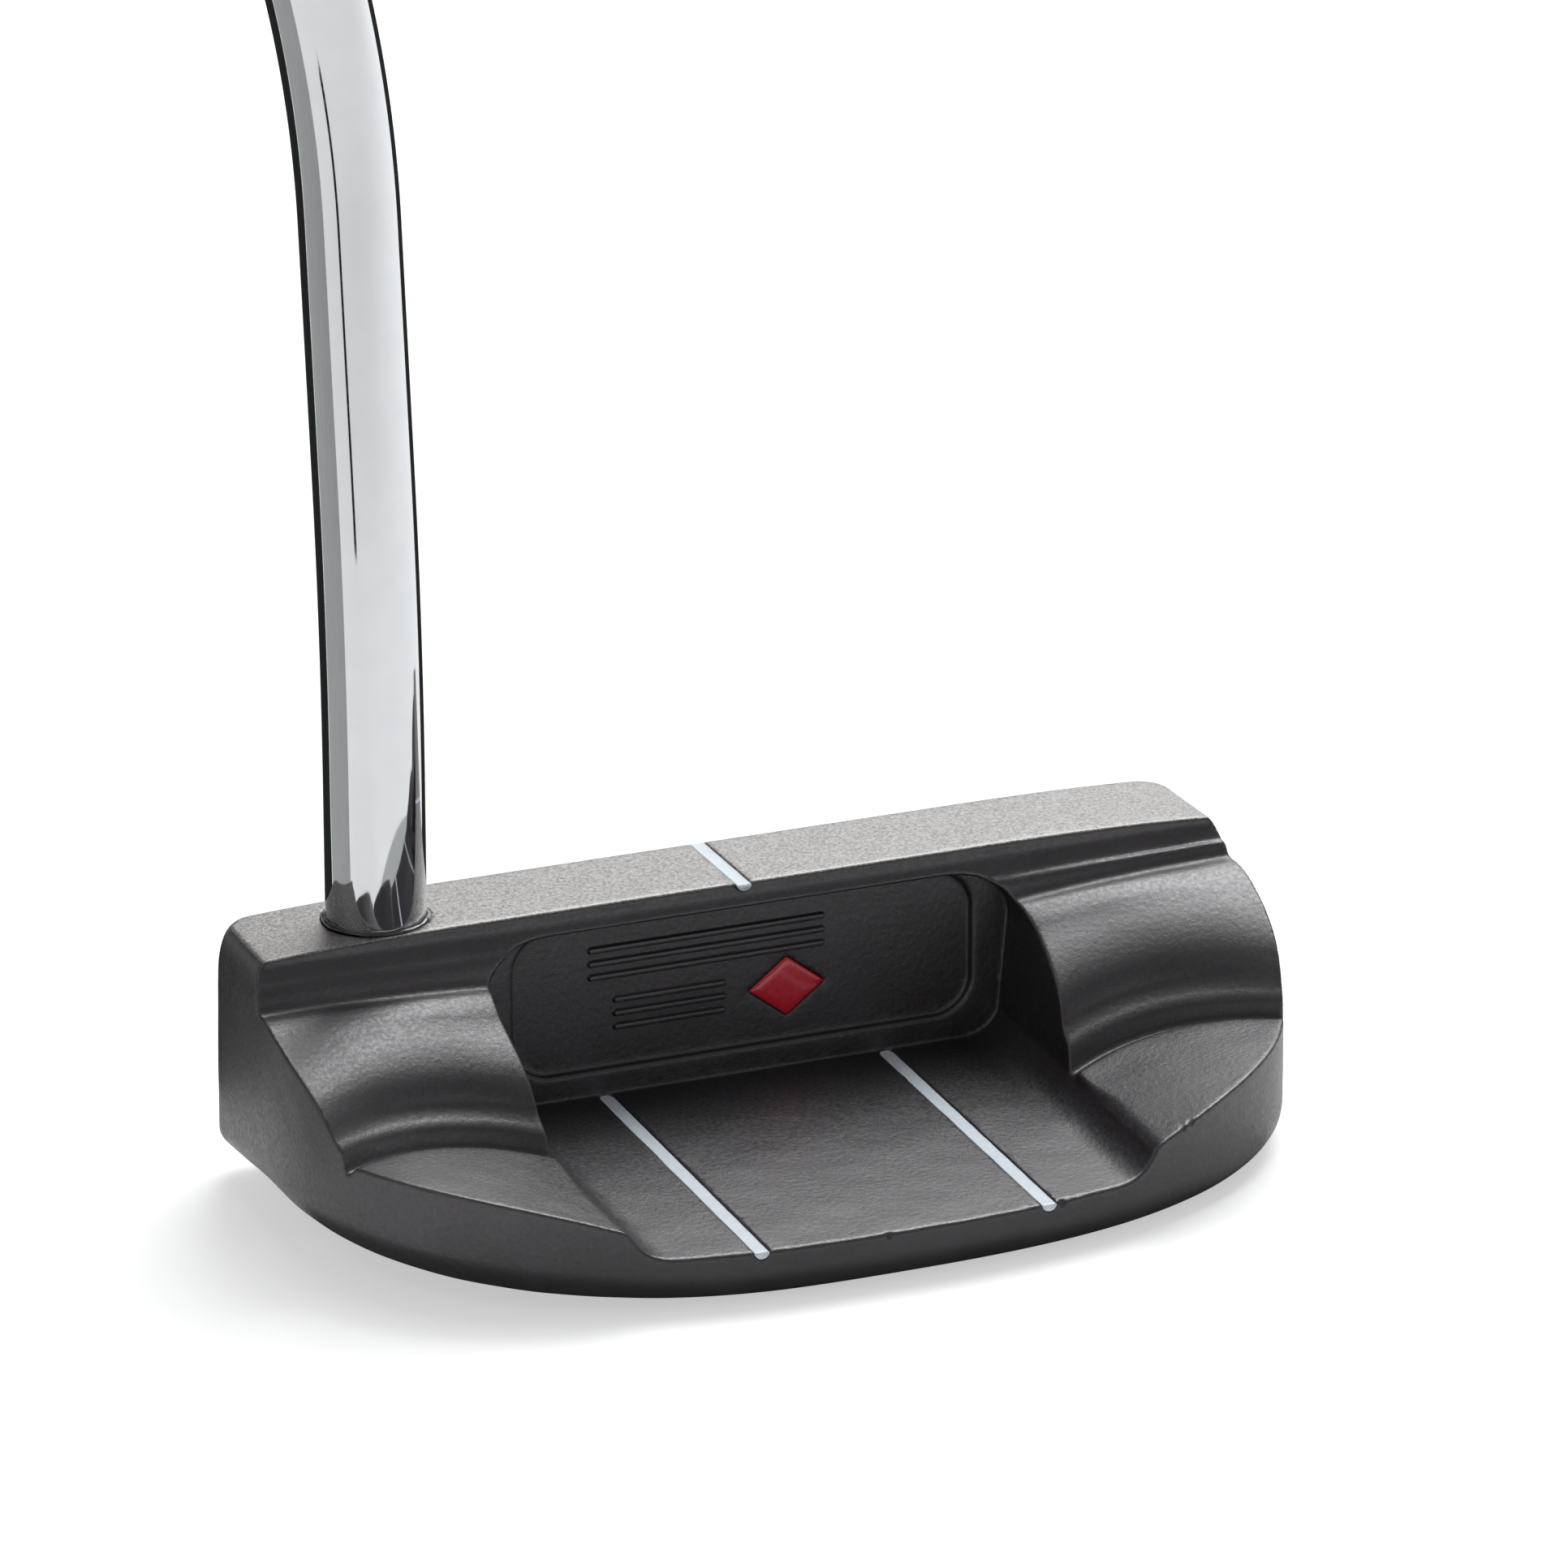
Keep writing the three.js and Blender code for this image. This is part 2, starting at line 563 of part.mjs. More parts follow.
// Rings of a round tube square to its line. side stays close to +Y all the way.
function tubeRing(centre, along, radius) {
  const side = point(0, 1, 0).addScaledVector(along, -along.y).normalize();
  const other = new THREE.Vector3().crossVectors(along, side);
  const ring = [];
  for (let i = 0; i < TUBE_SEGMENTS; i++) {
    const angle = (2 * Math.PI * i) / TUBE_SEGMENTS;
    ring.push(centre.clone()
      .addScaledVector(side, radius * Math.cos(angle))
      .addScaledVector(other, radius * Math.sin(angle)));
  }
  return ring;
}

// The tube's stations from tip to butt: a point, a direction and the outer radius there.
function shaftStations() {
  const stations = [{ at: tipPoint, along: upward, radius: TIP_R }];
  for (const curve of [lowerCurve, upperCurve]) {
    const pieces = 8;
    for (let i = 0; i <= pieces; i++) {
      const t = i / pieces;
      stations.push({ at: curve.getPoint(t), along: curve.getTangent(t), radius: TIP_R });
    }
  }
  for (let i = 0; i < STEP_COUNT; i++) {
    const back = FIRST_STEP + ((LAST_STEP - FIRST_STEP) * i) / (STEP_COUNT - 1);
    const rise = (BUTT_R - TIP_R) / STEP_COUNT;
    for (const [offset, radius] of [[STEP_TAPER, TIP_R + i * rise], [0, TIP_R + (i + 1) * rise]]) {
      const at = buttPoint.clone().addScaledVector(lieLine, -back - offset);
      stations.push({ at, along: lieLine, radius });
    }
  }
  stations.push({ at: shaftEnd, along: lieLine, radius: BUTT_R });
  return stations;
}

function shaftTube() {
  const stations = shaftStations();
  const outer = stations.map(({ at, along, radius }) => tubeRing(at, along, radius));
  const inner = stations.map(({ at, along, radius }) => tubeRing(at, along, radius - SHAFT_WALL));
  return loft([...outer, ...inner.reverse()], true);
}

// Cured epoxy: a thin sleeve round the tip in the bore, and a bead on the top line.
function epoxyRing() {
  const inner = TIP_R + SLIP;
  const profile = [
    [inner, EPOXY_BOTTOM_Z],
    [BORE_R - SLIP, EPOXY_BOTTOM_Z],
    [BORE_R - SLIP, TOP_Z + SLIP],
    [BORE_R + BEAD_REACH, TOP_Z + SLIP],
    [BORE_R + SLIP, TOP_Z + BEAD_SHOULDER],
    [inner + 2 * SLIP, TOP_Z + BEAD_HEIGHT],
    [inner, TOP_Z + BEAD_HEIGHT],
    [inner, EPOXY_BOTTOM_Z],
  ];
  const geometry = new THREE.LatheGeometry(
    profile.map(([r, z]) => new THREE.Vector2(r, z)),
    2 * TUBE_SEGMENTS,
  );
  return geometry.rotateX(Math.PI / 2).translate(TIP_X, TIP_Y, 0);
}

// ---------------------------------------------------------------- tape and grip

const gripFront = point(Math.cos(LIE_LEAN), 0, Math.sin(LIE_LEAN));
const gripSide = point(0, 1, 0);

// How far a measure of the grip's section has grown from its mouth (share 0) to the butt (share 1).
function grown(measure, share) {
  const swell = THREE.MathUtils.smoothstep(share, 0, 1);
  return THREE.MathUtils.lerp(GRIP_MOUTH[measure], GRIP_BUTT[measure], swell);
}

function gripRing(distance, inset = 0) {
  const [halfWidth, front, back] = ['halfWidth', 'front', 'back'].map(
    (measure) => grown(measure, distance / GRIP_LENGTH) - inset,
  );
  const centre = buttPoint.clone().addScaledVector(lieLine, distance - GRIP_LENGTH);
  const ring = [];
  for (let i = 0; i < GRIP_SEGMENTS; i++) {
    const angle = (2 * Math.PI * i) / GRIP_SEGMENTS;
    const c = Math.cos(angle);
    const s = Math.sin(angle);
    const u = c > 0 ? c ** GRIP_FRONT_POWER * front : c * back;
    const v = Math.sign(s) * Math.abs(s) ** (c > 0 ? GRIP_FRONT_POWER : GRIP_BACK_POWER) * halfWidth;
    ring.push(centre.clone().addScaledVector(gripFront, u).addScaledVector(gripSide, v));
  }
  return ring;
}

function gripTube() {
  const top = GRIP_LENGTH - CAP_THICKNESS - END_GAP;
  const steps = 8;
  const rings = [gripRing(0, GRIP_MOUTH_BEVEL)];
  for (let i = 0; i <= steps; i++) {
    rings.push(gripRing(THREE.MathUtils.lerp(1, top, i / steps)));
  }
  const bore = (distance) => {
    const centre = buttPoint.clone().addScaledVector(lieLine, distance - GRIP_LENGTH);
    const radius = BUTT_R + TAPE_THICKNESS + 2 * SLIP;
    const ring = [];
    for (let i = 0; i < GRIP_SEGMENTS; i++) {
      const angle = (2 * Math.PI * i) / GRIP_SEGMENTS;
      ring.push(centre.clone()
        .addScaledVector(gripFront, radius * Math.cos(angle))
        .addScaledVector(gripSide, radius * Math.sin(angle)));
    }
    return ring;
  };
  return loft([...rings, bore(top), bore(0)], true);
}

function gripCap() {
  const rings = CAP_EDGE.map(({ below, inset }) => gripRing(GRIP_LENGTH - below, inset));
  const vent = new THREE.CylinderGeometry(VENT_R, VENT_R, 3 * CAP_THICKNESS, 16);
  vent.rotateX(Math.PI / 2).rotateY(-LIE_LEAN);
  vent.translate(buttPoint.x, buttPoint.y, buttPoint.z);
  return solid(loft(rings)).subtract(solid(vent));
}

function gripTape() {
  const rings = [];
  const ends = [CAP_THICKNESS + 2 * END_GAP, TAPE_LENGTH];
  const ring = (back, radius) => {
    const centre = buttPoint.clone().addScaledVector(lieLine, -back);
    return tubeRing(centre, lieLine, radius);
  };
  for (const back of [...ends].reverse()) rings.push(ring(back, BUTT_R + SLIP + TAPE_THICKNESS));
  for (const back of ends) rings.push(ring(back, BUTT_R + SLIP));
  return loft(rings, true);
}

// ---------------------------------------------------------------- the putter

const putter = new THREE.Group();
putter.name = 'mallet_putter';
putter.add(
  piece('head_body', geometryOf(headBody()), 0x161416, 0.5, 0.3),
  piece('centre_sight_line', geometryOf(sightLineFill()), 0xf1f4fa, 0.4, 0),
  piece('heel_alignment_line', geometryOf(floorLineFill(-LINE_X)), 0xf1f4fa, 0.4, 0),
  piece('toe_alignment_line', geometryOf(floorLineFill(LINE_X)), 0xf1f4fa, 0.4, 0),
  piece('pocket_enamel', pocketEnamel(), 0xc4162a, 0.35, 0),
  piece('shaft_epoxy', epoxyRing(), 0x2a2a2c, 0.15, 0),
  piece('shaft', shaftTube(), 0xd8dade, 0.06, 1),
  piece('grip_tape', gripTape(), 0xd9c79a, 0.8, 0),
  piece('grip', gripTube(), 0x141415, 0.75, 0),
  piece('grip_cap', geometryOf(gripCap()), 0x1c1c1e, 0.6, 0),
);

export default putter;
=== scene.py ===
"""The looks of a mid-mallet putter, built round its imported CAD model.

Shapes are worked out in millimetres in the CAD's own frame: +Z up, +X to the toe, +Y out of the
strike face, the origin on the sole. They become metres when a mesh is made.
"""

import itertools
import math

import bpy
import numpy as np
from mathutils import Matrix, Vector


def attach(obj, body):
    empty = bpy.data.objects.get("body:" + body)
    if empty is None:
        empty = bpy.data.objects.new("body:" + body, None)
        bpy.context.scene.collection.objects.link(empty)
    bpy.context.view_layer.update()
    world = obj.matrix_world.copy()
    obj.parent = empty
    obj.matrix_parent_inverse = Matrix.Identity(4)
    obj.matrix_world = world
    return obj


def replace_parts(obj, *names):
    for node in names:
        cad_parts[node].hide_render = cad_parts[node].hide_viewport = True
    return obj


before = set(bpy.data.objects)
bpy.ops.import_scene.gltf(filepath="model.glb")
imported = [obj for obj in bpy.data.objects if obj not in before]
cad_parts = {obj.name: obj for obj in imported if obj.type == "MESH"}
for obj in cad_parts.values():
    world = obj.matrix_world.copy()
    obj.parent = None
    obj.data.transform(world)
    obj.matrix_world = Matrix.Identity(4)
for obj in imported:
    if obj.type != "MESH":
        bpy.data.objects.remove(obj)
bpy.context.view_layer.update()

# ---------------- dimensions, in millimetres

# Head
HEAD_HALF_WIDTH = 49.0
HEEL_HALF_WIDTH = 49.5
TOP_Z = 25.4
FACE_TOP_Y = 24.0
REAR_Y = -25.7
LOFT = math.radians(3)
TOP_LINE_DEPTH = 11.4
FACE_CORNER_R = 4.0
FACE_CORNER_INSET = 0.35
FACE_STOCK = 1.3
WIDEST_Y = 8.0
WIDEST_Z = 6.0
REAR_ROUNDNESS = 2.5
SOLE_EDGE_R = 3.4
FACE_EDGE_SHARE = 0.45
TOP_EDGE_INSET = 1.5
TOP_EDGE_DROP = 4.2
SIDE_DRAFT = 0.3
SOLE_FLAT_HEEL_X = -9.0
SOLE_FLAT_TOE_X = 18.0
SOLE_CAMBER_HEEL_R = 240.0
SOLE_CAMBER_TOE_R = 900.0
TOP_CROWN_START = 28.0
TOP_CROWN_R = 330.0
MILLED_EDGE_R = 0.25
MILLING_CENTRE_Z = -60.0
MILLING_PITCH = 0.9
CAST_SKIN_STARTS = (0.1, 1.2)       # heights above the sole
CAST_TO_Z = TOP_Z - 0.9
MILLED_FROM_Z = TOP_Z - 0.3
TOP_WALL_RUN = 0.12                 # how far the wall behind the top line slopes, for each mm down
TOP_WALL_FOOT_R = 0.12
RIM_R = 0.22
NICK_EDGE_R = 0.1

# Cavity and pocket
FLOOR_Z = TOP_Z - 19.3
CAVITY_HALF_WIDTH = 26.9
CAVITY_FOOT_HALF_WIDTH = 26.0
CAVITY_FOOT_RISE = 2.4
CAVITY_LIP_DROP = 2.4
CAVITY_SHOULDER_DROP = 7.2
CAVITY_CORNER_WIDTH = 6.0
CAVITY_FRONT_Y = FACE_TOP_Y - 10.9
CAVITY_FRONT_CORNER_R = 0.2
CAVITY_EDGE_R = 0.35
CAVITY_EDGE_GROWTH = 0.95           # how much rounder the edge is where the shoulders end
CAVITY_EDGE_GROWS_Y = (-6.0, -13.0)
CAVITY_EDGE_GROWS_Z = (FLOOR_Z + 0.8, FLOOR_Z + 3.0)
FLOOR_FALL = 1.2
FLOOR_SLOPE = FLOOR_FALL / (CAVITY_FRONT_Y - REAR_Y + 10)
FLOOR_HALF_WIDTH = 22.0
POCKET_HALF_WIDTH = 23.2
POCKET_BOTTOM_Z = TOP_Z - 16.8
POCKET_DEPTH = 0.8
POCKET_CORNER_R = 3.8
POCKET_FOOT_R = 0.15
POCKET_EDGE_R = 0.32
POCKET_WALL_Y = CAVITY_FRONT_Y + POCKET_DEPTH

# Lines and ornament
LINE_R = 0.72
LINE_X = 14.2
SIGHT_LINE_X = -0.35
LINE_FRONT_Y = 13.1
LINE_EDGE_R = 0.08
SIGHT_LINE_OVERRUN = 3.0
RIB_HEIGHT = 0.35
RIB_THICKNESS = 0.55
RIB_FLARE = 0.12
RIB_PITCH = 1.35
LOZENGE_HALF_WIDTH = 3.9
LOZENGE_HALF_HEIGHT = 3.0
LOZENGE_X = 4.6
LOZENGE_Z = TOP_Z - 11.6
ENAMEL_SEAT_DEPTH = 0.5

# Shaft
TIP_X = -34.8
TIP_Y = FACE_TOP_Y - 6.1
TIP_R = 4.7
TIP_CHAMFER = 0.4
END_GAP = 0.3
BUTT_R = 7.37
BORE_R = 4.98
BORE_DEPTH = 18.0
BORE_FOOT_R = 0.5
TUBE_AROUND = 96
BEND_STATIONS = 40
LOWER_BEND_HEIGHT = 28.2
LOWER_BEND_REACH = 15.4
FORWARD_LEAN = math.radians(6.1)
BEND_SPACING = 57.0
UPPER_BEND_REACH = 19.2
LIE_LEAN = math.radians(20)
CLUB_LENGTH = 889.0
STEP_COUNT = 10
FIRST_STEP = 560.0
LAST_STEP = 300.0
STEP_TAPER = 1.6
STEP_OUTLINE = (
    # distance before the step's end, and share of its rise
    (STEP_TAPER, 0.0),
    (STEP_TAPER - 0.3, 0.06),
    (0.3, 0.94),
    (0.0, 1.0),
)

# Epoxy between the shaft and its bore
EPOXY_SKIN = 0.05
EPOXY_FOOT_Z = TOP_Z - BORE_DEPTH + 0.6
BEAD_FOOT_Z = TOP_Z - 0.09
BEAD_AROUND = 120
BEAD_OVERLAP = 0.02
BEAD_REACH = 0.2
BEAD_HEIGHT = 0.1
BEAD_LUMP_HEIGHT = 0.24

# Grip
GRIP_LENGTH = 267.0
GRIP_MOUTH = np.array([10.4, 9.6, 10.2])    # half width, reach in front and reach behind
GRIP_SWELL = np.array([3.2, 1.6, 5.2])      # what they gain by its end
GRIP_FRONT_POWER = 2 / 3.6
GRIP_BACK_POWER = 0.92
GRIP_AROUND = 200
GRIP_STEP = 0.53
GRIP_SKIN = 0.02
GRIP_MOUTH_EDGE = ((0.0, 0.8), (0.25, 0.3))         # distance from the mouth, and inset
GRIP_END_EDGE = ((0.1, GRIP_SKIN), (0.0, 0.15))     # distance from the end, and inset
GRIP_EDGE_LENGTHS = (1.0, 0.4)
CAP_THICKNESS = 5.0
PATTERN_STARTS = (14, 17)
PATTERN_STOPS = (GRIP_LENGTH - 24, GRIP_LENGTH - 21)
PATTERN_R = 9.5
GROOVE_PITCH = 2.4
GROOVE_HALF_WIDTH = 0.45
GROOVE_DEPTH = 0.3
GROOVES_END = (0.62, 0.7)           # radians round from the middle of the front
DIMPLES_START = (0.8, 0.86)
DIMPLE_PITCH = 3.0
DIMPLE_R = 0.9
DIMPLE_DEPTH = 0.35

# Paint in the lines
FILL_GAP = 0.03
FILL_SINK = 0.1
FILL_DISH = 0.03
FILL_WAVE = 0.01
FILL_WAVE_TURN = 1.7                # radians for each millimetre
FILL_TIP_R = 0.1
FILL_SURFACE_SHARE = 0.985
FILL_STEP = 0.5
FILL_ACROSS = 13
FLOOR_FILL_GAP = 0.6
SIGHT_FILL_GAP = 0.15
SIGHT_FILL_OVERRUN = 0.5

# Meshing
HEAD_STEP = 0.25
HEAD_LOW = (-50.5, -27.5, -1.5)
HEAD_HIGH = (50.5, 27.0, 27.0)
HEAD_TRIANGLES = 190000
COARSE = 4                          # fine steps in each coarse one
NEAR = 2.6                          # coarse steps from the surface that are worked out finely
BATCH = 600000
TINY = 1e-9
FAR_OFF = 1e3

MM = 0.001


# ---------------- small helpers

def smoothstep(low, high, value):
    t = np.clip((value - low) / (high - low), 0, 1)
    return t * t * (3 - 2 * t)


def rounded(a, b, width, height=None):
    """The signed distance to what two solids share, with a rounded outer edge.
    width and height are the edge's two half-axes, measured square to a's and to b's surface."""
    height = width if height is None else height
    across = np.maximum(a / width + 1, 0)
    up = np.maximum(b / height + 1, 0)
    reach = np.hypot(across, up)
    slope = np.hypot(across / width, up / height) / np.maximum(reach, TINY)
    return np.where(reach > TINY, (reach - 1) / np.maximum(slope, TINY), np.maximum(a, b))


def filleted(a, b, radius):
    """The signed distance to two solids joined, with a fillet in the corner between them."""
    return -rounded(-a, -b, radius)


def polygon_distance(px, py, points):
    """Signed distance from a grid of points to a closed polygon, negative inside."""
    best = np.full(px.shape, np.inf)
    crossed = np.zeros(px.shape, bool)
    for (ax, ay), (bx, by) in zip(points, np.roll(points, -1, axis=0)):
        ex, ey = bx - ax, by - ay
        wx, wy = px - ax, py - ay
        share = np.clip((wx * ex + wy * ey) / max(ex * ex + ey * ey, 1e-12), 0, 1)
        best = np.minimum(best, (wx - share * ex) ** 2 + (wy - share * ey) ** 2)
        if ay != by:
            straddles = (ay > py) != (by > py)
            crossed ^= straddles & (px < ax + (py - ay) * ex / ey)
    return np.where(crossed, -1, 1) * np.sqrt(best)


class Table:
    """Values on a regular grid in two directions, read back at any point between."""

    def __init__(self, values_at, low, high, step):
        self.low = low
        self.step = step
        across = np.arange(low[0], high[0] + step, step)
        up = np.arange(low[1], high[1] + step, step)
        self.values = values_at(*np.meshgrid(across, up, indexing="ij"))

    def at(self, a, b):
        rows, columns = self.values.shape
        i = np.clip((a - self.low[0]) / self.step, 0, rows - 1.001)
        j = np.clip((b - self.low[1]) / self.step, 0, columns - 1.001)
        i0, j0 = i.astype(int), j.astype(int)
        u, v = i - i0, j - j0
        lower = self.values[i0, j0] * (1 - v) + self.values[i0, j0 + 1] * v
        upper = self.values[i0 + 1, j0] * (1 - v) + self.values[i0 + 1, j0 + 1] * v
        return lower * (1 - u) + upper * u


# ---------------- head: its outline and profiles

def plan_outline():
    """The plan outline at its widest level, round the toe half and then the heel half."""
    corner_x = HEAD_HALF_WIDTH - FACE_CORNER_INSET - FACE_CORNER_R
    corner_y = FACE_TOP_Y + FACE_STOCK - FACE_CORNER_R
    rear = np.linspace(math.pi / 2, 0, 90)[:-1]
    power = 2 / REAR_ROUNDNESS
    rear_x = HEAD_HALF_WIDTH * np.cos(rear) ** power
    rear_y = WIDEST_Y - (WIDEST_Y - REAR_Y) * np.sin(rear) ** power
    turn = np.linspace(0, math.pi / 2, 16)
    front_x = corner_x + FACE_CORNER_R * np.cos(turn)
    front_y = corner_y + FACE_CORNER_R * np.sin(turn)
    right = np.stack([
        np.concatenate([rear_x, [HEAD_HALF_WIDTH], front_x]),
        np.concatenate([rear_y, [WIDEST_Y], front_y]),
    ], axis=1)
    return np.concatenate([right, right[::-1] * [-1, 1]])


# A shoulder's side-view profile behind the top line: back from the face's top edge, drop below
# the top line, fall at the cavity's edge, and how far it follows the curved rear groove.
SHOULDER_PROFILE = np.array([
    (9.6, -1.4, 0.0, 0.0),
    (11.6, 1.3, 0.1, 0.0),
    (12.0, 2.0, 0.2, 0.0),
    (12.35, 2.5, 0.3, 0.0),
    (12.8, 2.8, 0.4, 0.0),
    (13.1, 3.2, 0.55, 0.0),
    (13.3, 3.8, 0.7, 0.0),
    (13.55, 4.25, 0.85, 0.0),
    (13.95, 4.45, 0.95, 0.0),
    (14.5, 4.45, 1.05, 0.0),
    (15.3, 4.47, 1.2, 0.05),
    (16.2, 4.62, 1.4, 0.1),
    (17.5, 4.95, 1.7, 0.15),
    (19.0, 5.4, 2.0, 0.25),
    (22.8, 6.8, 2.2, 0.45),
    (26.0, 8.4, 2.3, 0.65),
    (28.0, 9.9, 2.4, 0.85),
    (29.2, 11.1, 2.6, 1.0),
    (29.9, 11.75, 2.7, 1.0),
    (30.5, 12.1, 2.8, 1.0),
    (30.95, 12.5, 2.9, 1.0),
    (31.2, 13.2, 2.95, 1.0),
    (31.4, 14.0, 3.0, 1.0),
    (31.75, 14.45, 3.05, 1.0),
    (32.2, 14.35, 3.1, 1.0),
    (32.55, 13.95, 3.15, 1.0),
    (32.9, 13.6, 3.25, 1.0),
    (33.6, 13.5, 3.4, 0.95),
    (36.0, 13.5, 3.55, 0.85),
    (44.0, 13.6, 3.7, 0.5),
    (58.0, 13.8, 3.9, 0.0),
])
SOFTENING_ROUNDS = 4
GROOVE_MIDDLE_X = 34.0
GROOVE_ARC_R = 20.0
SHOULDER_LEAN = 0.5                 # rise of the toe's edge, and fall of the heel's
LEAN_GROWS = (12.4, 13.2)           # distances back from the face's top edge
LEAN_FADES = (32, 17)


def softened(points, rounds):
    """The points with their corners cut, each round making a smoother curve."""
    for _ in range(rounds):
        ahead = points[:-1] * 0.75 + points[1:] * 0.25
        behind = points[:-1] * 0.25 + points[1:] * 0.75
        middle = np.stack([ahead, behind], axis=1).reshape(-1, points.shape[1])
        points = np.concatenate([points[:1], middle, points[-1:]])
    return points


def groove_bend(x):
    return (x - GROOVE_MIDDLE_X) ** 2 / (2 * GROOVE_ARC_R)


def shoulder_height(x, y):
    """Height of the two shoulders over a grid of x (from the middle outwards) and y."""
    profile = softened(SHOULDER_PROFILE, SOFTENING_ROUNDS)
    height = np.empty(x.shape)
    for row, at in enumerate(x[:, 0]):
        inner = max(at, CAVITY_FOOT_HALF_WIDTH)
        shift = groove_bend(HEAD_HALF_WIDTH) - groove_bend(inner)
        share = max((HEAD_HALF_WIDTH - inner) / (HEAD_HALF_WIDTH - CAVITY_FOOT_HALF_WIDTH), 0) ** 2
        along = FACE_TOP_Y - profile[:, 0] + profile[:, 3] * shift
        up = TOP_Z - profile[:, 1] - profile[:, 2] * share
        order = np.argsort(along, kind="stable")
        height[row] = np.interp(y[row], along[order], up[order])
    return height


def cavity_outline():
    """The cavity's section from behind, toe half and heel half, at its front wall."""
    foot = np.linspace(0, 1, 10)[:, None]
    start = np.array([[FLOOR_HALF_WIDTH, FLOOR_Z]])
    middle = np.array([[(FLOOR_HALF_WIDTH + CAVITY_FOOT_HALF_WIDTH) / 2 + 0.8, FLOOR_Z]])
    end = np.array([[CAVITY_FOOT_HALF_WIDTH, FLOOR_Z + CAVITY_FOOT_RISE]])
    curve = start * (1 - foot) ** 2 + middle * 2 * foot * (1 - foot) + end * foot ** 2
    turn = np.linspace(0, math.pi / 2, 14)
    corner = np.stack([
        CAVITY_HALF_WIDTH - CAVITY_CORNER_WIDTH * (1 - np.cos(turn)),
        TOP_Z - CAVITY_SHOULDER_DROP + (CAVITY_SHOULDER_DROP - CAVITY_LIP_DROP) * np.sin(turn),
    ], axis=1)
    right = np.concatenate([curve, corner])
    return np.concatenate([right, right[::-1] * [-1, 1]])


plan_table = Table(
    lambda x, y: polygon_distance(x, y, plan_outline()), low=(0, -32), high=(56, 32), step=0.2
)
shoulder_table = Table(shoulder_height, low=(0, -36), high=(60, 30), step=0.1)
rise_x, rise_y = np.gradient(shoulder_table.values, shoulder_table.step)
tilt_table = Table(
    lambda x, y: 1 / np.sqrt(1 + rise_x ** 2 + rise_y ** 2), low=(0, -36), high=(60, 30), step=0.1
)
cavity_table = Table(
    lambda x, z: polygon_distance(x, z, cavity_outline()), low=(0, 0), high=(40, 30), step=0.1
)


# ---------------- head: the solid

def sole_camber(x):
    """Rise of the sole to the heel and the toe of its flat middle."""
    heelward = np.maximum(SOLE_FLAT_HEEL_X - x, 0)
    toeward = np.maximum(x - SOLE_FLAT_TOE_X, 0)
    return heelward ** 2 / (2 * SOLE_CAMBER_HEEL_R) + toeward ** 2 / (2 * SOLE_CAMBER_TOE_R)


def top_crown(x):
    """Fall of the top line to its two ends."""
    return np.maximum(np.abs(x) - TOP_CROWN_START, 0) ** 2 / (2 * TOP_CROWN_R)


WAVES = [
    # amplitude in mm, wavelength in mm, direction, phase
    (0.010, 11.0, (0.8, 0.5, 0.33), 0.4),
    (0.008, 8.3, (-0.5, 0.8, 0.33), 1.9),
    (0.007, 6.1, (0.3, -0.9, 0.3), 3.1),
    (0.006, 4.7, (0.9, 0.1, -0.42), 4.4),
    (0.005, 3.7, (-0.6, -0.6, 0.53), 5.2),
    (0.004, 2.9, (0.2, 0.7, -0.68), 0.9),
]


def casting_wave(x, y, z):
    """The slight unevenness of a cast and painted surface, which only takes metal away."""
    total = 0
    for amplitude, wavelength, (dx, dy, dz), phase in WAVES:
        turn = (x * dx + y * dy + z * dz) * 2 * math.pi / wavelength + phase
        total = total + amplitude * (1 + np.sin(turn))
    return total * smoothstep(*CAST_SKIN_STARTS, z)


def floor_height(y):
    return FLOOR_Z + FLOOR_SLOPE * (y - CAVITY_FRONT_Y)


def outer_form(x, y, z):
    """The D-shaped block: its sides, its cambered sole and its crowned top."""
    plan = plan_table.at(np.where(x > 0, x, -x * HEAD_HALF_WIDTH / HEEL_HALF_WIDTH), y)
    side = plan + SIDE_DRAFT * (np.maximum(z - WIDEST_Z, 0) / (TOP_Z - WIDEST_Z)) ** 2
    share = 1 + (FACE_EDGE_SHARE - 1) * smoothstep(WIDEST_Y, FACE_TOP_Y, y)
    bottom = sole_camber(x) - z
    top = z - TOP_Z + top_crown(x)
    form = rounded(side, bottom, SOLE_EDGE_R * share)
    return rounded(form, top, TOP_EDGE_INSET, TOP_EDGE_DROP)


def shoulders(x, y, z):
    """What stands behind the top line: a wall, then the two stepped shoulders."""
    wall_y = FACE_TOP_Y - TOP_LINE_DEPTH - (TOP_Z - z) * TOP_WALL_RUN
    bar = (wall_y - y) / math.hypot(1, TOP_WALL_RUN)
    back = FACE_TOP_Y - y
    lean = SHOULDER_LEAN * x / HEAD_HALF_WIDTH * smoothstep(*LEAN_GROWS, back) * smoothstep(*LEAN_FADES, back)
    under = (z - lean - shoulder_table.at(np.abs(x), y)) * tilt_table.at(np.abs(x), y)
    return filleted(bar, under, TOP_WALL_FOOT_R)


def cavity(x, y, z):
    """The open cavity between the shoulders, whose floor falls towards the rear."""
    lower = 1 - smoothstep(FLOOR_Z + CAVITY_FOOT_RISE, TOP_Z - CAVITY_SHOULDER_DROP, z)
    section = cavity_table.at(np.abs(x), z + (FLOOR_Z - floor_height(y)) * lower)
    return rounded(section, y - CAVITY_FRONT_Y, CAVITY_FRONT_CORNER_R)


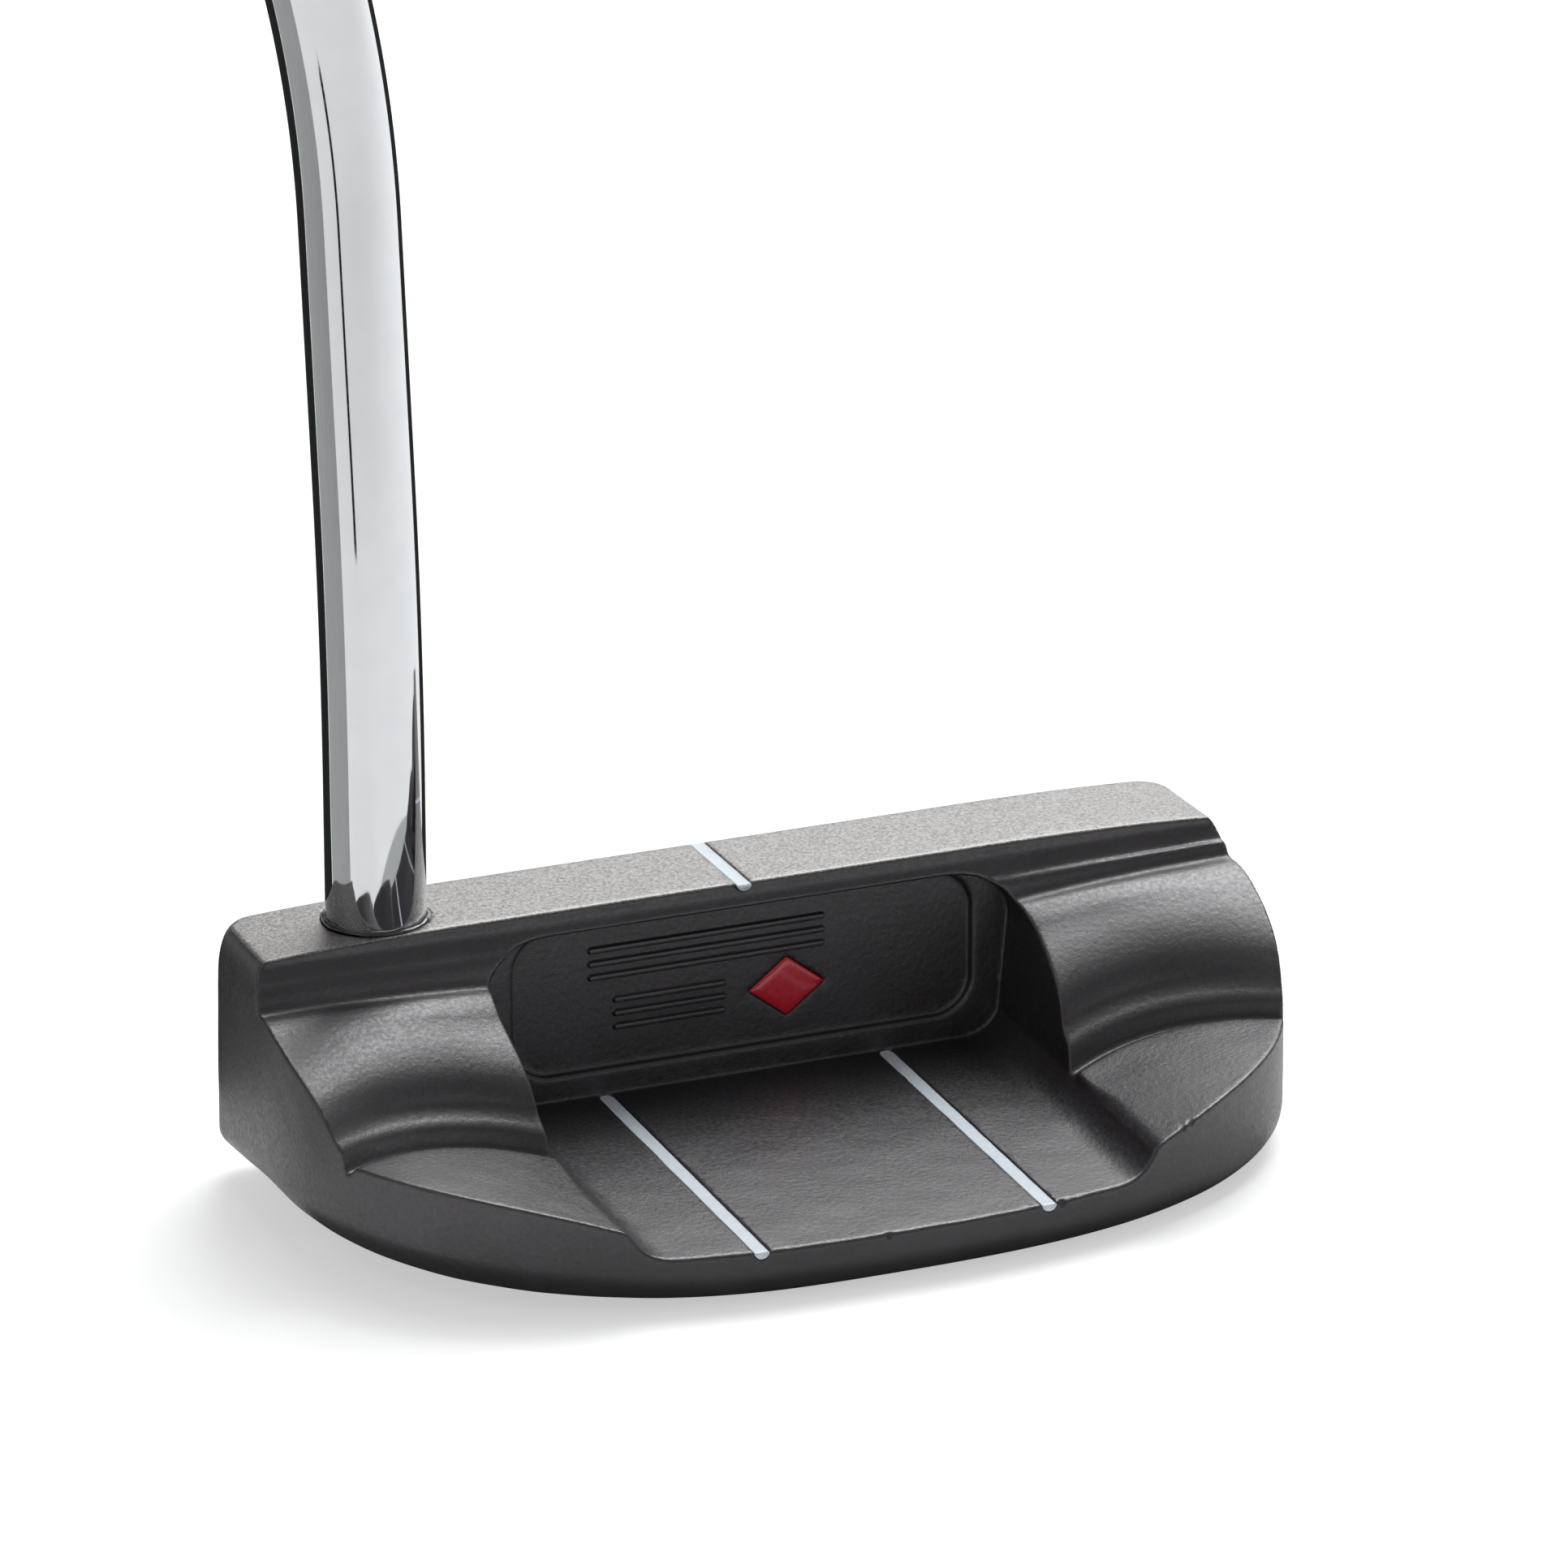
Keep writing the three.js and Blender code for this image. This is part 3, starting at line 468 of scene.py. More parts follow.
def pocket(x, y, z):
    """The shallow round-cornered recess in the cavity's front wall."""
    bottom, top = POCKET_BOTTOM_Z, TOP_Z - CAVITY_LIP_DROP
    dx = np.abs(x) - POCKET_HALF_WIDTH + POCKET_CORNER_R
    dz = np.abs(z - (bottom + top) / 2) - (top - bottom) / 2 + POCKET_CORNER_R
    outside = np.hypot(np.maximum(dx, 0), np.maximum(dz, 0))
    panel = outside + np.minimum(np.maximum(dx, dz), 0) - POCKET_CORNER_R
    return rounded(panel, y - POCKET_WALL_Y, POCKET_FOOT_R)


def lozenge(x, z):
    across = np.abs(x - LOZENGE_X) / LOZENGE_HALF_WIDTH
    up = np.abs(z - LOZENGE_Z) / LOZENGE_HALF_HEIGHT
    scale = 1 / math.hypot(1 / LOZENGE_HALF_WIDTH, 1 / LOZENGE_HALF_HEIGHT)
    return (across + up - 1) * scale


def line_grooves(x, y, z):
    """Distance outside the three ball-nosed grooves that hold the paint lines."""
    ahead = np.maximum(y - (LINE_FRONT_Y - LINE_R), 0)
    floor = np.sqrt((np.abs(x) - LINE_X) ** 2 + (z - floor_height(y)) ** 2 + ahead ** 2)
    sight = np.hypot(x - SIGHT_LINE_X, z - TOP_Z)
    sight = np.where(y > FACE_TOP_Y - TOP_LINE_DEPTH - SIGHT_LINE_OVERRUN, sight, FAR_OFF)
    return np.minimum(floor, sight) - LINE_R


# Small nicks in the rear rim: x, y, z and radius.
RIM_NICKS = (
    (16.2, -24.7, 5.6, 0.55),
    (17.4, -24.5, 5.5, 0.4),
    (15.6, -24.9, 5.0, 0.4),
    (-2.0, -25.7, 5.0, 0.35),
    (29.3, -21.8, 9.0, 0.5),
    (30.2, -21.2, 9.2, 0.35),
    (-20.5, -24.6, 6.2, 0.3),
)


def head_field(x, y, z):
    """Signed distance to the head's surface, negative inside."""
    cast = casting_wave(x, y, z) * (1 - smoothstep(CAST_TO_Z, MILLED_FROM_Z, z))
    form = rounded(outer_form(x, y, z) + cast, shoulders(x, y, z) + cast, RIM_R)
    edge_growth = smoothstep(*CAVITY_EDGE_GROWS_Z, z) * smoothstep(*CAVITY_EDGE_GROWS_Y, y)
    form = rounded(form, -cavity(x, y, z) - cast, CAVITY_EDGE_R + CAVITY_EDGE_GROWTH * edge_growth)
    form = rounded(form, -pocket(x, y, z), POCKET_EDGE_R)
    enamel_seat = np.maximum(lozenge(x, z), np.abs(y - POCKET_WALL_Y) - ENAMEL_SEAT_DEPTH)
    form = np.maximum(form, -enamel_seat)
    form = rounded(form, -line_grooves(x, y, z), LINE_EDGE_R)
    for nick_x, nick_y, nick_z, radius in RIM_NICKS:
        nick = np.sqrt((x - nick_x) ** 2 + (y - nick_y) ** 2 + (z - nick_z) ** 2) - radius
        form = rounded(form, -nick, NICK_EDGE_R)
    bore = rounded(np.hypot(x - TIP_X, y - TIP_Y) - BORE_R, TOP_Z - BORE_DEPTH - z, BORE_FOOT_R)
    form = np.maximum(form, -bore)
    face = (y - FACE_TOP_Y) * math.cos(LOFT) + (z - TOP_Z) * math.sin(LOFT)
    return rounded(form, face, MILLED_EDGE_R)


# ---------------- turning a field into a mesh

def cube_windows(grid):
    """The eight views of a grid that hold the eight corners of each of its cells."""
    for shift in itertools.product((0, 1), repeat=3):
        yield grid[tuple(slice(s, s + n - 1) for s, n in zip(shift, grid.shape))]


def sampled(field, low, high, step):
    """The field on a fine grid, worked out only near the surface."""
    counts = [int(math.ceil((b - a) / (step * COARSE))) * COARSE for a, b in zip(low, high)]
    axes = [a + step * np.arange(n + 1) for a, n in zip(low, counts)]
    size = [len(axis) for axis in axes]
    rough = field(*np.meshgrid(*[axis[::COARSE] for axis in axes], indexing="ij"))
    near = np.abs(rough) < NEAR * step * COARSE
    blocks = np.zeros([n - 1 for n in near.shape], bool)
    for window in cube_windows(near):
        blocks |= window
    for axis in range(3):
        rough = np.repeat(rough, COARSE, axis=axis)
        blocks = np.repeat(blocks, COARSE, axis=axis)
    values = rough[:size[0], :size[1], :size[2]].astype(np.float32)
    where = np.zeros(size, bool)
    for window in cube_windows(where):
        window |= blocks
    i, j, k = np.nonzero(where)
    for start in range(0, len(i), BATCH):
        part = slice(start, start + BATCH)
        a, b, c = i[part], j[part], k[part]
        values[a, b, c] = field(axes[0][a], axes[1][b], axes[2][c])
    return values


def surface_net(values):
    """Corner points and four-sided faces of the surface where values change sign."""
    inside = values < 0
    corners = np.zeros([n - 1 for n in values.shape], np.int8)
    for window in cube_windows(inside):
        corners += window
    cells = np.argwhere((corners > 0) & (corners < 8))
    number = np.full(corners.shape, -1, np.int32)
    number[tuple(cells.T)] = np.arange(len(cells))
    total = np.zeros((len(cells), 3))
    hits = np.zeros(len(cells))
    faces = []
    for axis in range(3):
        first, second = [n for n in range(3) if n != axis]
        for u in (0, 1):
            for v in (0, 1):
                offset = np.zeros(3, int)
                offset[first], offset[second] = u, v
                start = cells + offset
                end = start.copy()
                end[:, axis] += 1
                a = values[tuple(start.T)]
                b = values[tuple(end.T)]
                crossing = (a < 0) != (b < 0)
                place = offset + np.zeros((len(cells), 3))
                place[crossing, axis] += (a / np.where(crossing, a - b, 1))[crossing]
                total[crossing] += place[crossing]
                hits[crossing] += 1
        low = np.moveaxis(inside, axis, 0)
        change = np.argwhere(low[:-1, 1:-1, 1:-1] != low[1:, 1:-1, 1:-1])
        change[:, 1:] += 1
        solid = low[tuple(change.T)]
        moved = np.moveaxis(number, axis, 0)
        along, p, q = change.T
        quad = np.stack([
            moved[along, p - 1, q - 1], moved[along, p, q - 1], moved[along, p, q], moved[along, p - 1, q]
        ], axis=1)
        flip = solid if axis != 1 else ~solid
        quad[~flip] = quad[~flip][:, ::-1]
        faces.append(quad)
    points = cells + total / hits[:, None]
    return points, np.concatenate(faces)


def settled(points, field, reach):
    """The points moved onto the surface, along the field's slope."""
    nudge = 0.02
    least_slope = 0.5
    for _ in range(2):
        x, y, z = points.T
        value = field(x, y, z)
        slope = np.stack([
            field(x + nudge, y, z) - field(x - nudge, y, z),
            field(x, y + nudge, z) - field(x, y - nudge, z),
            field(x, y, z + nudge) - field(x, y, z - nudge),
        ], axis=1) / (2 * nudge)
        size = np.maximum((slope ** 2).sum(axis=1), least_slope ** 2)
        step = value[:, None] * slope / size[:, None]
        points = points - np.clip(step, -reach, reach)
    return points


def new_object(name, points, faces, material):
    """A smooth-shaded piece from points in millimetres and faces that list their corners."""
    mesh = bpy.data.meshes.new(name)
    mesh.from_pydata((np.asarray(points) * MM).tolist(), [], [list(face) for face in faces])
    mesh.polygons.foreach_set("use_smooth", np.ones(len(mesh.polygons), bool))
    mesh.materials.append(material)
    mesh.update()
    piece = bpy.data.objects.new(name, mesh)
    bpy.context.scene.collection.objects.link(piece)
    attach(piece, "root")
    return piece


def apply_modifier(piece, modifier):
    """Makes a modifier's result the piece's own mesh."""
    graph = bpy.context.evaluated_depsgraph_get()
    graph.update()
    mesh = bpy.data.meshes.new_from_object(piece.evaluated_get(graph))
    piece.modifiers.remove(modifier)
    old = piece.data
    piece.data = mesh
    bpy.data.meshes.remove(old)


def head_piece(material):
    """The head's surface, as a net over its field that is then thinned."""
    step = HEAD_STEP
    points, faces = surface_net(sampled(head_field, HEAD_LOW, HEAD_HIGH, step))
    points = settled(points * step + HEAD_LOW, head_field, step)
    head = new_object("head", points, faces, material)
    thin = head.modifiers.new("thin", "DECIMATE")
    thin.ratio = HEAD_TRIANGLES / (2 * len(faces))
    apply_modifier(head, thin)
    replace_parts(head, "head_body")
    return head


def per_vertex(piece, field_name):
    flat = np.empty(3 * len(piece.data.vertices))
    piece.data.vertices.foreach_get(field_name, flat)
    return flat.reshape(-1, 3)


def mark_edges(head):
    """Stores how sharp the outer edges are, so that the material can wear them."""
    depth = 0.5
    clear_of_bore = (0.5, 1.5)
    points = per_vertex(head, "co") / MM
    inner = points - depth * per_vertex(head, "normal")
    sharpness = np.clip((head_field(*inner.T) + depth) / depth, 0, 1)
    from_bore = np.hypot(points[:, 0] - TIP_X, points[:, 1] - TIP_Y) - BORE_R
    layer = head.data.attributes.new("edge", "FLOAT", "POINT")
    layer.data.foreach_set("value", np.asarray(sharpness * smoothstep(*clear_of_bore, from_bore), np.float32))


# ---------------- lofted pieces

def loft_faces(ring_count, per_ring, joined=False):
    """Four-sided faces between rings of points, and a fan on each end or the ends joined up."""
    ring = np.arange(per_ring)
    following = (ring + 1) % per_ring
    faces = []
    for level in range(ring_count - 1):
        low, high = level * per_ring, (level + 1) * per_ring
        faces.append(np.stack([low + ring, low + following, high + following, high + ring], axis=1))
    last = (ring_count - 1) * per_ring
    if joined:
        faces.append(np.stack([last + ring, last + following, following, ring], axis=1))
    faces = np.concatenate(faces).tolist()
    if not joined:
        faces += [ring[::-1].tolist(), (last + ring).tolist()]
    return faces


def lofted(name, rings, material, joined=False):
    """A piece skinned over rings of points."""
    faces = loft_faces(len(rings), len(rings[0]), joined)
    return new_object(name, np.concatenate(rings), faces, material)


# ---------------- shaft

UP = np.array([0.0, 0.0, 1.0])
FORWARD = np.array([0.0, math.sin(FORWARD_LEAN), math.cos(FORWARD_LEAN)])
LIE_LINE = np.array([-math.sin(LIE_LEAN), 0.0, math.cos(LIE_LEAN)])
LOWER_BEND = np.array([TIP_X, TIP_Y, TOP_Z + LOWER_BEND_HEIGHT])
UPPER_BEND = LOWER_BEND + FORWARD * BEND_SPACING
GROUND_POINT = UPPER_BEND - LIE_LINE * UPPER_BEND[2] / LIE_LINE[2]
BUTT_POINT = GROUND_POINT + LIE_LINE * CLUB_LENGTH


def bend_stations(corner, before, after, reach):
    """Points and directions round one smooth bend."""
    start = corner - before * reach
    end = corner + after * reach
    stations = []
    for t in np.linspace(0, 1, BEND_STATIONS):
        at = start * (1 - t) ** 2 + corner * 2 * t * (1 - t) + end * t ** 2
        along = (corner - start) * (1 - t) + (end - corner) * t
        stations.append((at, along / np.linalg.norm(along)))
    return stations


def tube_ring(at, along, radius):
    """A circle of points round a direction, started from the +Y side so that rings don't twist."""
    side = np.array([0.0, 1.0, 0.0]) - along * along[1]
    side /= np.linalg.norm(side)
    other = np.cross(along, side)
    angle = np.linspace(0, 2 * math.pi, TUBE_AROUND, endpoint=False)[:, None]
    return at + radius * (np.cos(angle) * side + np.sin(angle) * other)


def shaft_piece(material):
    """The chromed tube, from the bottom of its bore to just under the grip's cap."""
    tip = np.array([TIP_X, TIP_Y, TOP_Z - BORE_DEPTH + END_GAP])
    rings = [tube_ring(tip, UP, TIP_R - TIP_CHAMFER), tube_ring(tip + UP * TIP_CHAMFER, UP, TIP_R)]
    stations = bend_stations(LOWER_BEND, UP, FORWARD, LOWER_BEND_REACH)
    stations += bend_stations(UPPER_BEND, FORWARD, LIE_LINE, UPPER_BEND_REACH)
    rings += [tube_ring(at, along, TIP_R) for at, along in stations]
    rise = (BUTT_R - TIP_R) / STEP_COUNT
    for i in range(STEP_COUNT):
        back = FIRST_STEP + (LAST_STEP - FIRST_STEP) * i / (STEP_COUNT - 1)
        for offset, share in STEP_OUTLINE:
            at = BUTT_POINT - LIE_LINE * (back + offset)
            rings.append(tube_ring(at, LIE_LINE, TIP_R + (i + share) * rise))
    rings.append(tube_ring(BUTT_POINT - LIE_LINE * (CAP_THICKNESS + END_GAP), LIE_LINE, BUTT_R))
    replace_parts(lofted("shaft_tube", rings, material), "shaft")


def epoxy_piece(material):
    """The sleeve of epoxy in the bore, and the uneven bead that it leaves round the shaft."""
    inner = TIP_R + EPOXY_SKIN
    outer = BORE_R - EPOXY_SKIN
    angle = np.linspace(0, 2 * math.pi, BEAD_AROUND, endpoint=False)
    # From 0 to 1 and back, unevenly, on the way round
    lumps = 0.5 + 0.5 * np.sin(5 * angle + 1.0) * np.sin(3 * angle + 0.3) + 0.12 * np.sin(17 * angle)
    lumps = np.clip(lumps, 0, 1)
    reach = BORE_R + BEAD_OVERLAP + BEAD_REACH * lumps
    height = BEAD_HEIGHT + BEAD_LUMP_HEIGHT * lumps
    profile = [
        # distance from the shaft's axis, and height
        (inner, EPOXY_FOOT_Z),
        (outer, EPOXY_FOOT_Z),
        (outer, BEAD_FOOT_Z),
        (reach, BEAD_FOOT_Z + 0.03),
        (reach + 0.02, BEAD_FOOT_Z + 0.12),
        (reach * 0.6 + inner * 0.4, TOP_Z + height * 0.6),
        (reach * 0.25 + inner * 0.75, TOP_Z + height * 0.92),
        (inner, TOP_Z + height),
    ]
    rings = []
    for radius, level in profile:
        x, y = TIP_X + radius * np.cos(angle), TIP_Y + radius * np.sin(angle)
        rings.append(np.stack([x, y, level + np.zeros(BEAD_AROUND)], axis=1))
    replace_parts(lofted("epoxy_bead", rings, material, joined=True), "shaft_epoxy")


# ---------------- grip

GRIP_FRONT = np.array([math.cos(LIE_LEAN), 0.0, math.sin(LIE_LEAN)])
GRIP_SIDE = np.array([0.0, 1.0, 0.0])


def grip_ring(distance, inset, pattern=None):
    """The grip's outline at a distance from its mouth: flat in front, round behind."""
    half_width, front, back = GRIP_MOUTH + GRIP_SWELL * smoothstep(0, 1, distance / GRIP_LENGTH)
    angle = np.linspace(0, 2 * math.pi, GRIP_AROUND, endpoint=False)
    c, s = np.cos(angle), np.sin(angle)
    in_front = c > 0
    cut = inset if pattern is None else inset + pattern(distance, angle)
    front_power = np.where(in_front, GRIP_FRONT_POWER, 1)
    side_power = np.where(in_front, GRIP_FRONT_POWER, GRIP_BACK_POWER)
    u = np.sign(c) * np.abs(c) ** front_power * (np.where(in_front, front, back) - cut)
    v = np.sign(s) * np.abs(s) ** side_power * (half_width - cut)
    centre = BUTT_POINT + LIE_LINE * (distance - GRIP_LENGTH)
    return centre + u[:, None] * GRIP_FRONT + v[:, None] * GRIP_SIDE


def grip_pattern(distance, angle):
    """Depth of the moulded pattern: fine cross grooves in front, and rows of dimples round the back."""
    ends = smoothstep(*PATTERN_STARTS, distance) * (1 - smoothstep(*PATTERN_STOPS, distance))
    turn = (angle + math.pi) % (2 * math.pi) - math.pi
    on_front = 1 - smoothstep(*GROOVES_END, np.abs(turn))
    from_groove = np.abs((distance / GROOVE_PITCH) % 1 - 0.5) * GROOVE_PITCH
    groove = np.clip(1 - from_groove / GROOVE_HALF_WIDTH, 0, 1)
    on_back = smoothstep(*DIMPLES_START, np.abs(turn))
    row = math.floor(distance / DIMPLE_PITCH)
    shifted = turn * PATTERN_R / DIMPLE_PITCH + 0.5 * (row % 2)
    dx = (shifted % 1 - 0.5) * DIMPLE_PITCH
    dy = distance - (row + 0.5) * DIMPLE_PITCH
    dimple = np.clip(1 - (dx ** 2 + dy ** 2) / DIMPLE_R ** 2, 0, 1)
    return ends * (GROOVE_DEPTH * groove * on_front + DIMPLE_DEPTH * dimple * on_back)


def grip_bore_ring(distance):
    at = BUTT_POINT + LIE_LINE * (distance - GRIP_LENGTH)
    angle = np.linspace(0, 2 * math.pi, GRIP_AROUND, endpoint=False)[:, None]
    return at + (BUTT_R + END_GAP) * (np.cos(angle) * GRIP_FRONT + np.sin(angle) * GRIP_SIDE)


def grip_piece(material):
    """The rubber sleeve: a rounded mouth, the patterned length, a rounded end and the bore."""
    step = GRIP_STEP
    top = GRIP_LENGTH - CAP_THICKNESS - END_GAP
    mouth_edge, end_edge = GRIP_EDGE_LENGTHS
    levels = np.arange(mouth_edge, top - end_edge, step)
    rings = [grip_ring(distance, inset) for distance, inset in GRIP_MOUTH_EDGE]
    rings += [grip_ring(level, GRIP_SKIN, grip_pattern) for level in levels]
    rings += [grip_ring(top - distance, inset) for distance, inset in GRIP_END_EDGE]
    rings += [grip_bore_ring(top), grip_bore_ring(0.0)]
    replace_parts(lofted("grip_sleeve", rings, material, joined=True), "grip")


# ---------------- paint fills and enamel

def line_fill(name, node, centre_at, from_y, to_y, domed, material):
    """Paint lying in a round-bottomed groove, its surface dished and slightly uneven."""
    radius = LINE_R - FILL_GAP
    across = np.linspace(-1, 1, FILL_ACROSS)
    turn = np.linspace(0, -math.pi, FILL_ACROSS + 2)[1:-1]
    rings = []
    for y in [*np.arange(from_y, to_y, FILL_STEP), to_y]:
        near_end = max(y - (to_y - radius), 0) if domed else 0
        wide = math.sqrt(max(radius ** 2 - near_end ** 2, FILL_TIP_R ** 2))
        x, z = centre_at(y)
        surface = -FILL_SINK - FILL_DISH * (1 - across ** 2) + FILL_WAVE * math.sin(FILL_WAVE_TURN * y)
        bottom = -FILL_SINK + (wide - FILL_SINK) * np.sin(turn)
        ring_x = x + wide * np.concatenate([across * FILL_SURFACE_SHARE, np.cos(turn)])
        ring_z = z + np.concatenate([surface, bottom])
        rings.append(np.stack([ring_x, np.full(len(ring_x), y), ring_z], axis=1))
    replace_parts(lofted(name, rings, material), node)


RIB_ROWS = (
    # left end, right end and middle height
    (-15.5, 8.5, TOP_Z - 6.4),
    (-13.0, -1.5, TOP_Z - 11.6),
)
RIB_OUTLINE = (
    # inset from the rib's foot, and Y
    (0.0, POCKET_WALL_Y + 0.2),
    (0.0, POCKET_WALL_Y),
    (0.05, POCKET_WALL_Y - 0.04),
    (0.12, POCKET_WALL_Y - 0.14),
    (0.13, POCKET_WALL_Y - RIB_HEIGHT + 0.1),
    (0.16, POCKET_WALL_Y - RIB_HEIGHT + 0.03),
    (0.23, POCKET_WALL_Y - RIB_HEIGHT),
)


def rib_ring(left, right, level, inset, y):
    """A long outline with round ends, in X and Z."""
    half_height = RIB_THICKNESS / 2 + RIB_FLARE
    radius = half_height - inset
    points = []
    for centre, start in ((right - half_height, -math.pi / 2), (left + half_height, math.pi / 2)):
        for turn in np.linspace(start, start + math.pi, 9):
            points.append((centre + radius * math.cos(turn), y, level + radius * math.sin(turn)))
    return points


def rib_piece(material):
    """Two rows of three raised ribs on the pocket's wall."""
    points = []
    faces = []
    for left, right, middle in RIB_ROWS:
        for step in (-1, 0, 1):
            rings = [rib_ring(left, right, middle + step * RIB_PITCH, *outline) for outline in RIB_OUTLINE]
            first = len(points)
            points += itertools.chain(*rings)
            faces += [[first + corner for corner in face] for face in loft_faces(len(rings), len(rings[0]))]
    new_object("pocket_ribs", points, faces, material)


ENAMEL_OUTLINE = (
    # growth of the half height, and Y
    (-0.06, POCKET_WALL_Y + 0.45),
    (-0.06, POCKET_WALL_Y + 0.05),
    (-0.2, POCKET_WALL_Y - 0.06),
    (-0.45, POCKET_WALL_Y - 0.12),
    (-1.2, POCKET_WALL_Y - 0.14),
)


def enamel_piece(material):
    """Red enamel flooded into the lozenge, with its edge rolled over."""
    corners = np.array([(-1.0, 0.0), (0.0, -1.0), (1.0, 0.0), (0.0, 1.0)])
    share = np.linspace(0, 1, 12, endpoint=False)[:, None]
    sides = [a * (1 - share) + b * share for a, b in zip(corners, np.roll(corners, -1, axis=0))]
    edge_x, edge_z = np.concatenate(sides).T
    rings = []
    for grow, y in ENAMEL_OUTLINE:
        x = LOZENGE_X + edge_x * (LOZENGE_HALF_WIDTH + grow * LOZENGE_HALF_WIDTH / LOZENGE_HALF_HEIGHT)
        z = LOZENGE_Z + edge_z * (LOZENGE_HALF_HEIGHT + grow)
        rings.append(np.stack([x, np.full(len(x), y), z], axis=1))
    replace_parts(lofted("enamel_lozenge", rings, material), "pocket_enamel")


# ---------------- materials

class Nodes:
    """A new material's node tree, with short calls for the nodes that are used here."""

    def __init__(self, name, **shader_values):
        self.material = bpy.data.materials.new(name)
        self.material.use_nodes = True
        self.tree = self.material.node_tree
        self.shader = self.tree.nodes["Principled BSDF"]
        for socket, value in shader_values.items():
            self.shader.inputs[socket.replace("_", " ")].default_value = value
        self.place = self.add("ShaderNodeTexCoord").outputs["Object"]

    def add(self, kind, **settings):
        node = self.tree.nodes.new(kind)
        for key, value in settings.items():
            setattr(node, key, value)
        return node

    def put(self, value, socket):
        if isinstance(value, bpy.types.NodeSocket):
            self.tree.links.new(value, socket)
        else:
            socket.default_value = value

    def math(self, operation, a, b=0.0):
        node = self.add("ShaderNodeMath", operation=operation)
        self.put(a, node.inputs[0])
        self.put(b, node.inputs[1])
        return node.outputs[0]

    def noise(self, size, detail=2.0, roughness=0.5, stretch=(1, 1, 1)):
        """Noise from 0 to 1 whose features are about size millimetres across."""
        mapping = self.add("ShaderNodeMapping")
        mapping.inputs["Scale"].default_value = [factor / (size * MM) for factor in stretch]
        self.put(self.place, mapping.inputs["Vector"])
        node = self.add("ShaderNodeTexNoise")
        node.inputs["Scale"].default_value = 1.0
        node.inputs["Detail"].default_value = detail
        node.inputs["Roughness"].default_value = roughness
        self.put(mapping.outputs[0], node.inputs["Vector"])
        return node.outputs["Fac"]

    def spots(self, spacing, radius):
        """Round specks that far apart in millimetres, 1 inside and 0 outside."""
        node = self.add("ShaderNodeTexVoronoi")
        node.inputs["Scale"].default_value = 1 / (spacing * MM)
        self.put(self.place, node.inputs["Vector"])
        return self.ramp(node.outputs["Distance"], radius / spacing * 1.2, radius / spacing * 0.8)

    def ramp(self, value, low, high, to_low=0.0, to_high=1.0):
        """Smoothly from to_low, where the value is low, to to_high, where it is high."""
        node = self.add("ShaderNodeMapRange", interpolation_type="SMOOTHSTEP")
        self.put(value, node.inputs["Value"])
        for socket, number in zip(("From Min", "From Max", "To Min", "To Max"), (low, high, to_low, to_high)):
            self.put(number, node.inputs[socket])
        return node.outputs["Result"]

    def mix(self, share, a, b):
        """The colour a, or b where share is 1."""
        node = self.add("ShaderNodeMix", data_type="RGBA")
        self.put(share, node.inputs["Factor"])
        for value, socket in ((a, node.inputs[6]), (b, node.inputs[7])):
            self.put(value if isinstance(value, bpy.types.NodeSocket) else (*value, 1), socket)
        return node.outputs[2]

    def blend(self, share, a, b):
        """The number a, or b where share is 1."""
        node = self.add("ShaderNodeMix", data_type="FLOAT")
        self.put(share, node.inputs["Factor"])
        self.put(a, node.inputs[2])
        self.put(b, node.inputs[3])
        return node.outputs[0]

    def bump(self, height, depth, normal=None):
        """Bump of that depth in millimetres for a height from 0 to 1."""
        node = self.add("ShaderNodeBump")
        node.inputs["Distance"].default_value = depth * MM
        self.put(height, node.inputs["Height"])
        if normal is not None:
            self.put(normal, node.inputs["Normal"])
        return node.outputs["Normal"]

    def surface(self, colour, roughness, metallic=None, normal=None):
        wanted = {"Base Color": colour, "Roughness": roughness, "Metallic": metallic, "Normal": normal}
        for socket, value in wanted.items():
            if value is not None:
                self.put(value, self.shader.inputs[socket])
        return self.material

    def position(self):
        """The surface point's X, Y and Z in millimetres."""
        node = self.add("ShaderNodeSeparateXYZ")
        self.put(self.place, node.inputs[0])
        return [self.math("DIVIDE", node.outputs[i], MM) for i in range(3)]


